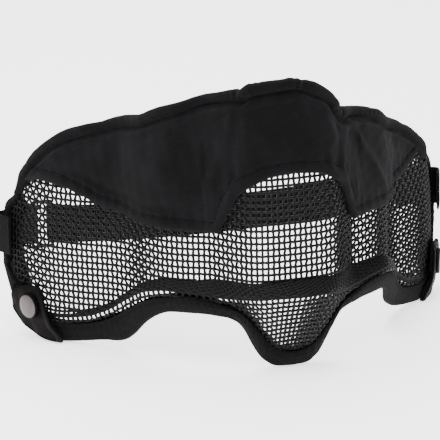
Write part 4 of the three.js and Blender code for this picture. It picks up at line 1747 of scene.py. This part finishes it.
    def seam(self) -> bpy.types.Object:
        """The stitches along both legs.

        Returns:
            The piece.
        """
        parts = MeshParts()
        for column in self.stitch_columns:
            above, line, below = (self.rings[:, column + step] for step in (-1, 0, 1))
            run = lengths(line)
            at = even_places(run[-1], self.stitch_pitch)
            ahead = on_line(at + STITCH_AHEAD, run, line)
            lines = (line, above, below, self.rings.mean(axis=1))
            centre, above, below, inside = (on_line(at, run, points) for points in lines)
            facing = unit(np.cross(ahead - centre, below - above))
            is_inward = np.sum(facing * (centre - inside), axis=-1, keepdims=True) < 0
            facing = np.where(is_inward, -facing, facing)
            add_stitches(parts, centre, unit(ahead - centre), facing, half=1.05, sink=0.02)
        return place_piece(parts.write("tape_stitches", THREAD), "webbing")


@dataclass
class LeatherCorner:
    """The leather corner over the tape at the bottom of an ear, with its turned edge."""

    hand: Hand
    thick: float = 1.1
    across: int = 64
    upward: int = 72
    inner_step: int = 5
    below: float = 0.16
    edge_round: float = 0.8
    groove: float = 0.22
    groove_in: float = 2.0
    turned_to: float = 85.9
    strip_inset: float = 1.15
    strip_half: float = 1.15
    strip_thick: float = 0.55
    strip_end: float = 2.4
    strip_sides: int = 18
    outer: Array = field(init=False)
    out: Array = field(init=False)
    over: Array = field(init=False)
    down: Array = field(init=False)
    edge_up: Array = field(init=False)

    def build(self) -> bpy.types.Object:
        """The leather: an outer face rounded off at its edges over an inner face.

        Returns:
            The piece.
        """
        side = self.hand.value * self._sides()[:, None]
        s = np.abs(side)
        share = np.linspace(0, 1, self.upward)[None, :]
        top = FORM.level_at(side, FORM.patch_edge(s))
        level = -self.below + (top + self.below) * share
        middle = FORM.off(side, level, PATCH_LIFT)
        down = lengths(middle, axis=1)
        over = lengths(middle, axis=0)
        edge = np.minimum(np.minimum(down, down[:, -1:] - down), np.minimum(over, over[-1:] - over))
        crown = rounded(edge / self.edge_round)
        groove = self.groove * bell(edge - self.groove_in, 0.4)
        soft = 0.12 * np.sin(over * 0.7 + 0.4) * np.sin(down * 0.5 + 1.0)
        lift = PATCH_LIFT - 0.3 + (self.thick + 0.3) * (0.25 + 0.75 * crown) - groove + soft * crown
        outer, inner = FORM.off(side, level, lift), FORM.off(side, level, PATCH_LIFT - 0.45)
        parts = two_faced(outer, inner, np.stack([over, down], axis=-1), self.inner_step)
        self.outer, self.out = outer, FORM.outward(side, level)
        self.over, self.down = over, down
        self.edge_up = FORM.patch_edge(s[:, 0])
        piece = parts.write(f"leather_corner_{self.hand.label}", LEATHER, 60)
        return place_piece(piece, "leather", f"corner_patch_{self.hand.label}")

    def _sides(self) -> Array:
        """The distances from the middle plane that the leather's columns stand at."""
        return np.linspace(PATCH_EDGE[0][0], PATCH_EDGE[-1][0], self.across)

    def edge_strip(self) -> bpy.types.Object:
        """The turned strip along the leather's front edge: a flat rounded section carried down it.

        Returns:
            The piece.
        """
        over, down = self.over[:, -1], self.down
        first = int(np.searchsorted(over, self.strip_inset))
        turned = int(np.searchsorted(self._sides(), self.turned_to))
        slope = np.gradient(self.edge_up, over)
        reach = down[:, -1] - self.strip_inset * np.hypot(1, slope)
        columns = np.arange(first, turned)
        place = [np.interp(reach[i], down[i], np.arange(self.upward)) for i in columns]
        below = np.arange(2, int(place[0]))
        row = np.concatenate([below, place])
        column = np.concatenate([np.full(len(below), first), columns])
        low = np.floor(row).astype(int)
        part = (row - low)[:, None]
        line = self.outer[column, low] * (1 - part) + self.outer[column, low + 1] * part
        line, off = smoothed(line, 30), smoothed(self.out[column, low], 30)
        run = lengths(line)
        steps = np.linspace(0, run[-1], int(run[-1] / 0.35))
        line, off = on_line(steps, run, line), unit(on_line(steps, run, off))
        inward = unit(np.cross(np.gradient(line, axis=0), off)) * self.hand.value
        full = rounded(np.minimum(steps, run[-1] - steps) / self.strip_end)[:, None]
        angle = np.linspace(0, 2 * math.pi, self.strip_sides, endpoint=False)
        x = self.strip_half * boxed(np.cos(angle), 0.6)[None] * (0.6 + 0.4 * full)
        y = self.strip_thick * boxed(np.sin(angle), 0.8)[None] * full + 0.2 * full - 0.4 * (1 - full)
        rings = line[:, None] + inward[:, None] * x[..., None] + off[:, None] * y[..., None]
        parts = MeshParts()
        parts.add(rings)
        return place_piece(parts.write(f"leather_edge_{self.hand.label}", LEATHER_EDGE, 60), "leather")


@dataclass
class SnapCap:
    """A round snap cap on the leather: a low dome with a rolled rim, and a dark ring round its foot that
    paints the shade where it meets the leather.
    """

    hand: Hand
    radius: float = 5.1
    high: float = 1.7
    pole: float = 0.02
    sides: int = 64
    base: Array = field(init=False)
    axis: Array = field(init=False)
    ring: Array = field(init=False)

    def _turned(self, profile: Array) -> Array:
        """A profile carried round the cap's axis.

        Args:
            profile: (points, 2) distances from the axis and heights above the base.

        Returns:
            (points, sides, 3) points.
        """
        far, high = profile[:, 0][:, None, None], profile[:, 1][:, None, None]
        return self.base + self.axis * high + self.ring[None] * far

    def build(self) -> bpy.types.Object:
        """The cap turned about the axis that the record gives for its face.

        Returns:
            The piece.
        """
        face = f"snap_cap_face_{self.hand.label}"
        mount = next(m for m in frame["record"]["mounts"] if m["name"] == face)
        self.axis = unit(np.array(mount["axis"], float))
        self.base = np.array(mount["pos_m"], float) / MM - self.axis * self.high
        beside = unit(np.cross(self.axis, [0, 0, 1.0]))
        upward = np.cross(beside, self.axis)
        angle = np.linspace(0, 2 * math.pi, self.sides, endpoint=False)
        self.ring = np.cos(angle)[:, None] * beside + np.sin(angle)[:, None] * upward
        r, h = self.radius, self.high
        profile = [
            (0.0, 0.02), (r - 0.5, 0.02), (r - 0.15, 0.1), (r, 0.4), (r, 0.72), (r - 0.22, 1.0),
            (r - 0.6, 1.16), (r - 1.0, 1.26), (r - 1.5, 1.4), (r - 2.4, 1.55), (r - 3.6, 1.66),
            (r - 4.6, h), (0.0, h),
        ]
        profile = catmull(np.maximum(profile, [self.pole, 0.0]), 3)
        parts = MeshParts()
        parts.add(self._turned(np.clip(profile, [self.pole, 0.0], [r, h])))
        piece = parts.write(f"snap_{self.hand.label}", CAP_ENAMEL, 50)
        return place_piece(piece, "snap_metal", f"snap_cap_{self.hand.label}")

    def washer(self) -> bpy.types.Object:
        """A dark ring round the cap's foot, in the leather edge's finish: painted shade where the cap meets
        the leather.

        Returns:
            The piece.
        """
        profile = np.array([
            (4.0, -0.75), (5.4, -0.7), (5.65, -0.35), (5.62, 0.4), (5.45, 0.9), (5.14, 1.0), (5.14, 0.3),
            (4.0, 0.1),
        ])
        rings = self._turned(profile).transpose(1, 0, 2)
        parts = MeshParts()
        parts.add(np.concatenate([rings, rings[:1]]), is_capped=False)
        return place_piece(parts.write(f"snap_washer_{self.hand.label}", LEATHER_EDGE, 50), "leather")


@dataclass
class StrapFittings:
    """The strap, its loops and the tabs that hold them, all flat webbing turned round square wire."""

    wide: float = 16.6
    thick: float = 1.3
    up: float = 42.8
    tab_up: float = 43.4
    sag: float = 4.0
    bow: float = 3.0
    overlap: float = 9.0
    ring_bar: float = 1.5
    gap_side: float = 78.7
    gap: float = 3.4
    tab_outer: float = 7.0
    tab_room: float = 0.9
    fold_long: float = 4.0
    fold_open: float = 0.12
    section_sides: int = 44
    loop_room: float = 0.8
    loop_corner: float = 1.1

    @property
    def turn(self) -> float:
        """The radius of webbing turned round a bar."""
        return self.ring_bar * 0.71 + 0.3 + self.thick / 2

    @property
    def line(self) -> float:
        """How far back the strap's plan line lies."""
        back = float(FORM.rib["back"](REAR))
        return back + SHEET_HALF + SEAT + TAPE_THICK + self.tab_room + self.thick + 0.6 - MIDDLE_BACK

    def bar_centre(self, direction: int) -> float:
        """The side of a bar's middle: the tab's bar outwards, the strap's inwards."""
        return self.gap_side + direction * (self.gap / 2 + self.thick / 2 + self.turn)

    def _half_turn(self, direction: int, steps: int = 12) -> Array:
        """Half a turn of webbing round a bar, in plan.

        Args:
            direction: 1 for the tab's bar and -1 for the strap's.
            steps: how many steps it is made in.

        Returns:
            (steps + 1, 2) points.
        """
        angle = -math.pi / 2 + math.pi * np.arange(steps + 1) / steps
        x = self.bar_centre(direction) - direction * self.turn * np.cos(angle)
        return np.stack([x, self.line + self.turn + self.turn * np.sin(angle)], axis=-1)

    def _ribbon(
        self, path: Array, middle: Array, name: str, finish: Finish, slot: str, stands_for: str,
    ) -> bpy.types.Object:
        """A flat ribbon on edge.

        Args:
            path: plan points.
            middle: the height of its middle at each.
            name: the piece's name.
            finish: its finish.
            slot: its material slot.
            stands_for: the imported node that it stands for.

        Returns:
            The piece: a rounded box section carried along the path.
        """
        run = lengths(path)
        steps = np.linspace(0, run[-1], int(run[-1] / 0.7) + 2)
        plan = smoothed(on_line(steps, run, path), 2)
        height = np.interp(steps, run, middle)
        along = unit(np.gradient(plan, axis=0))
        beside = np.stack([-along[:, 1], along[:, 0]], axis=-1)
        angle = np.linspace(0, 2 * math.pi, self.section_sides, endpoint=False)
        z = self.wide / 2 * boxed(np.sin(angle), 0.35)
        x = self.thick / 2 * boxed(np.cos(angle), 0.55)
        ripple = 0.05 * np.sin(steps * 0.9)[:, None] * np.cos(z * 0.5)[None]
        flat = plan[:, None] + beside[:, None] * (x[None] + ripple)[..., None]
        rings = np.concatenate([flat, (height[:, None] + z[None])[..., None]], axis=-1)
        parts = MeshParts()
        parts.add(rings, ring_places(rings))
        piece = place_piece(parts.write(name, finish, 60), slot, stands_for)
        return piece

    def strap(self) -> bpy.types.Object:
        """The elastic strap: turned ends, and a middle that bows back and sags between the loops.

        Returns:
            The piece.
        """
        reach = self.bar_centre(-1)
        x = np.linspace(-reach + self.fold_long, reach - self.fold_long, 90)
        middle = np.stack([x, self.line + self.bow * (1 - (x / reach) ** 2)], axis=-1)
        inner = reach - self.overlap + np.array([0.0, self.fold_long])
        bow = self.bow * (1 - (inner / reach) ** 2)
        fold = np.stack([inner, self.line + bow + self.thick + np.array([self.fold_open, 0.25])], axis=-1)
        end = np.concatenate([fold, self._half_turn(-1)[::-1]])
        path = np.concatenate([end * [-1, 1], middle, end[::-1]])
        sag = self.sag * (1 - np.minimum(1, (path[:, 0] / reach) ** 2))
        # the strap takes the elastic's darkened finish: painted shade
        return self._ribbon(
            path, self.up - sag, "elastic_strap", ELASTIC_PAINTED_SHADE, "elastic", "head_strap"
        )

    def tab(self, hand: Hand) -> bpy.types.Object:
        """The tab from the outside of the ear, round its rear edge and round the loop's outer bar.

        Args:
            hand: the ear.

        Returns:
            The piece.
        """
        back = FORM.rib["back"]
        edge = np.array([REAR, float(back(REAR)) - MIDDLE_BACK])
        before = np.array([REAR - 2, float(back(REAR - 2)) - MIDDLE_BACK])
        along = unit(edge - before)
        out = np.array([along[1], -along[0]])
        beside = SHEET_HALF + SEAT + TAPE_THICK + self.tab_room + self.thick / 2
        behind = SEAT + TAPE_THICK + self.tab_room + self.thick / 2 + 0.2
        corner = [
            (-self.tab_outer, beside), (behind - 1.2, beside), (behind - 0.3, beside - 0.7),
            (behind, beside - 1.8),
        ]
        bar, fold_back = self.bar_centre(1), self.line + self.thick
        path = np.concatenate([
            np.array([edge + along * u + out * v for u, v in corner]),
            [[REAR - 1.5, self.line]],
            self._half_turn(1),
            [[bar + self.fold_long, fold_back + 0.3]],
            [[bar + self.overlap - 1, fold_back + self.fold_open]],
        ])
        return self._ribbon(
            path * [hand.value, 1], np.full(len(path), self.tab_up), f"strap_tab_webbing_{hand.label}",
            TAB_CLOTH, "webbing", f"strap_tab_{hand.label}",
        )

    def loop(self, hand: Hand) -> bpy.types.Object:
        """The loop of round wire that joins tab and strap: a rectangle with rounded corners.

        Args:
            hand: the ear.

        Returns:
            The piece.
        """
        half_x = self.bar_centre(1) - self.gap_side
        half_z = self.wide / 2 + self.loop_room + self.ring_bar / 2
        corner = self.loop_corner
        angle = np.linspace(0, math.pi / 2, 7)
        quarter = np.stack([np.cos(angle), np.sin(angle)], axis=-1) * corner
        inner = np.array([half_x - corner, half_z - corner])
        turns = []
        for k, (sx, sz) in enumerate(((1, 1), (-1, 1), (-1, -1), (1, -1))):
            arc = quarter * [sx, sz] + inner * [sx, sz]
            turns.append(arc if k % 2 == 0 else arc[::-1])
        outline = np.concatenate(turns)
        outline = np.concatenate([outline, outline[:1]])
        depth = np.full(len(outline), self.line + self.turn)
        path = np.stack([outline[:, 0] + self.gap_side, depth, outline[:, 1] + self.up], axis=-1)
        path[:, 0] *= hand.value
        normal = np.broadcast_to([0.0, 1.0, 0.0], path.shape)
        rings = tube(path, normal, self.ring_bar / 2, 12)
        rings[-1] = rings[0] = (rings[0] + rings[-1]) / 2
        parts = MeshParts()
        parts.add(rings, is_capped=False)
        piece = parts.write(f"strap_loop_{hand.label}", RING_WIRE, 60)
        return place_piece(piece, "ring_metal", f"strap_ring_{hand.label}")


# ---- studio -----------------------------------------------------------------------------------------------
@dataclass(frozen=True)
class Floor(Finish):
    """The pale studio floor."""

    glow: float = 0.55

    def build(self, d: Dresser) -> bpy.types.Material:
        """Matt white that glows faintly, so that it stays pale to the edges.

        Args:
            d: the material's dresser.

        Returns:
            The material.
        """
        return d.finish({
            "Base Color": (*self.color, 1.0),
            "Roughness": self.roughness,
            "Specular IOR Level": 0.0,
            "Emission Color": (1.0, 1.0, 1.0, 1.0),
            "Emission Strength": self.glow,
        })


@dataclass
class Studio:
    """The camera, the pale floor and the soft lights."""

    azimuth: float = -16.8
    elevation: float = 15.5
    roll: float = 1.4
    distance: float = 1300.0
    target: tuple[float, float, float] = (-16.0, 2.5, 52.5)
    lens: float = 255.3

    def camera(self) -> None:
        """The camera looks at the target from a long way off, turned a little about its own axis."""
        a, e, r = (math.radians(v) for v in (self.azimuth, self.elevation, self.roll))
        back = np.array([math.sin(a) * math.cos(e), -math.cos(a) * math.cos(e), math.sin(e)])
        right = np.array([math.cos(a), math.sin(a), 0.0])
        upward = np.cross(back, right)
        turned_right = right * math.cos(r) - upward * math.sin(r)
        turned_up = upward * math.cos(r) + right * math.sin(r)
        data = bpy.data.cameras.new("camera")
        data.lens, data.sensor_width = self.lens, 36.0
        data.clip_start, data.clip_end = 0.05, 50.0
        camera = bpy.data.objects.new("camera", data)
        bpy.context.scene.collection.objects.link(camera)
        place = (np.array(self.target) + back * self.distance) * MM
        camera.matrix_world = Matrix([
            [turned_right[i], turned_up[i], back[i], place[i]] for i in range(3)
        ] + [[0, 0, 0, 1]])
        bpy.context.scene.camera = camera

    def floor(self) -> None:
        """A wide floor at the mask's base."""
        half = 6.0
        corners = [(half * x, half * y, 0) for x, y in ((-1, -1), (1, -1), (1, 1), (-1, 1))]
        mesh = bpy.data.meshes.new("floor")
        mesh.from_pydata(corners, [], [(0, 1, 2, 3)])
        mesh.materials.append(Floor("pale floor", (0.9, 0.9, 0.9), 1.0, glow=1.7).material())
        floor = bpy.data.objects.new("floor", mesh)
        bpy.context.scene.collection.objects.link(floor)

    @staticmethod
    def _area(name: str, place: Sequence[float], aim: Sequence[float], size: float, power: float) -> None:
        """Adds a square soft light that looks at a point.

        Args:
            name: the light's name.
            place: where it stands, in metres.
            aim: the point.
            size: its side, in metres.
            power: its power, in watts.
        """
        data = bpy.data.lights.new(name, "AREA")
        data.size, data.energy, data.shape = size, power, "SQUARE"
        light = bpy.data.objects.new(name, data)
        light.location = place
        light.rotation_mode = "QUATERNION"
        light.rotation_quaternion = (Vector(place) - Vector(aim)).to_track_quat("Z", "Y")
        bpy.context.scene.collection.objects.link(light)

    def lights(self) -> None:
        """Large soft lights before, beside, behind and over the mask, and a pale sky."""
        aim = (0.0, 0.0, 0.05)
        self._area("key", (-0.3, -0.6, 1.3), aim, 0.8, 22.0)
        self._area("fill", (1.0, -0.6, 0.9), aim, 0.8, 4.0)
        self._area("side", (-1.1, -0.1, 0.8), aim, 0.8, 8.0)
        self._area("back", (0.2, 1.2, 0.8), aim, 1.2, 12.0)
        self._area("top", (0.0, 0.35, 1.3), aim, 1.0, 26.0)
        world = bpy.data.worlds.new("studio")
        world.use_nodes = True
        background = world.node_tree.nodes["Background"]
        background.inputs["Color"].default_value = (1.0, 1.0, 1.0, 1.0)
        background.inputs["Strength"].default_value = 0.4
        bpy.context.scene.world = world


def main() -> None:
    """Builds the studio and every piece, in order."""
    logging.basicConfig(level=logging.INFO, format="%(name)s %(message)s")
    studio = Studio()
    studio.camera()
    studio.floor()
    studio.lights()
    net = WireNet()
    net.uprights()
    net.cross_wires()
    cloth = ClothUpper()
    cloth.build()
    cloth.seam()
    hem = RolledHem()
    hem.build()
    hem.seam()
    tape = EdgeTape()
    tape.build()
    tape.seam()
    fittings = StrapFittings()
    for hand in Hand:
        corner = LeatherCorner(hand)
        corner.build()
        corner.edge_strip()
        cap = SnapCap(hand)
        cap.build()
        cap.washer()
        fittings.loop(hand)
        fittings.tab(hand)
    fittings.strap()


if __name__ == "__main__":
    main()
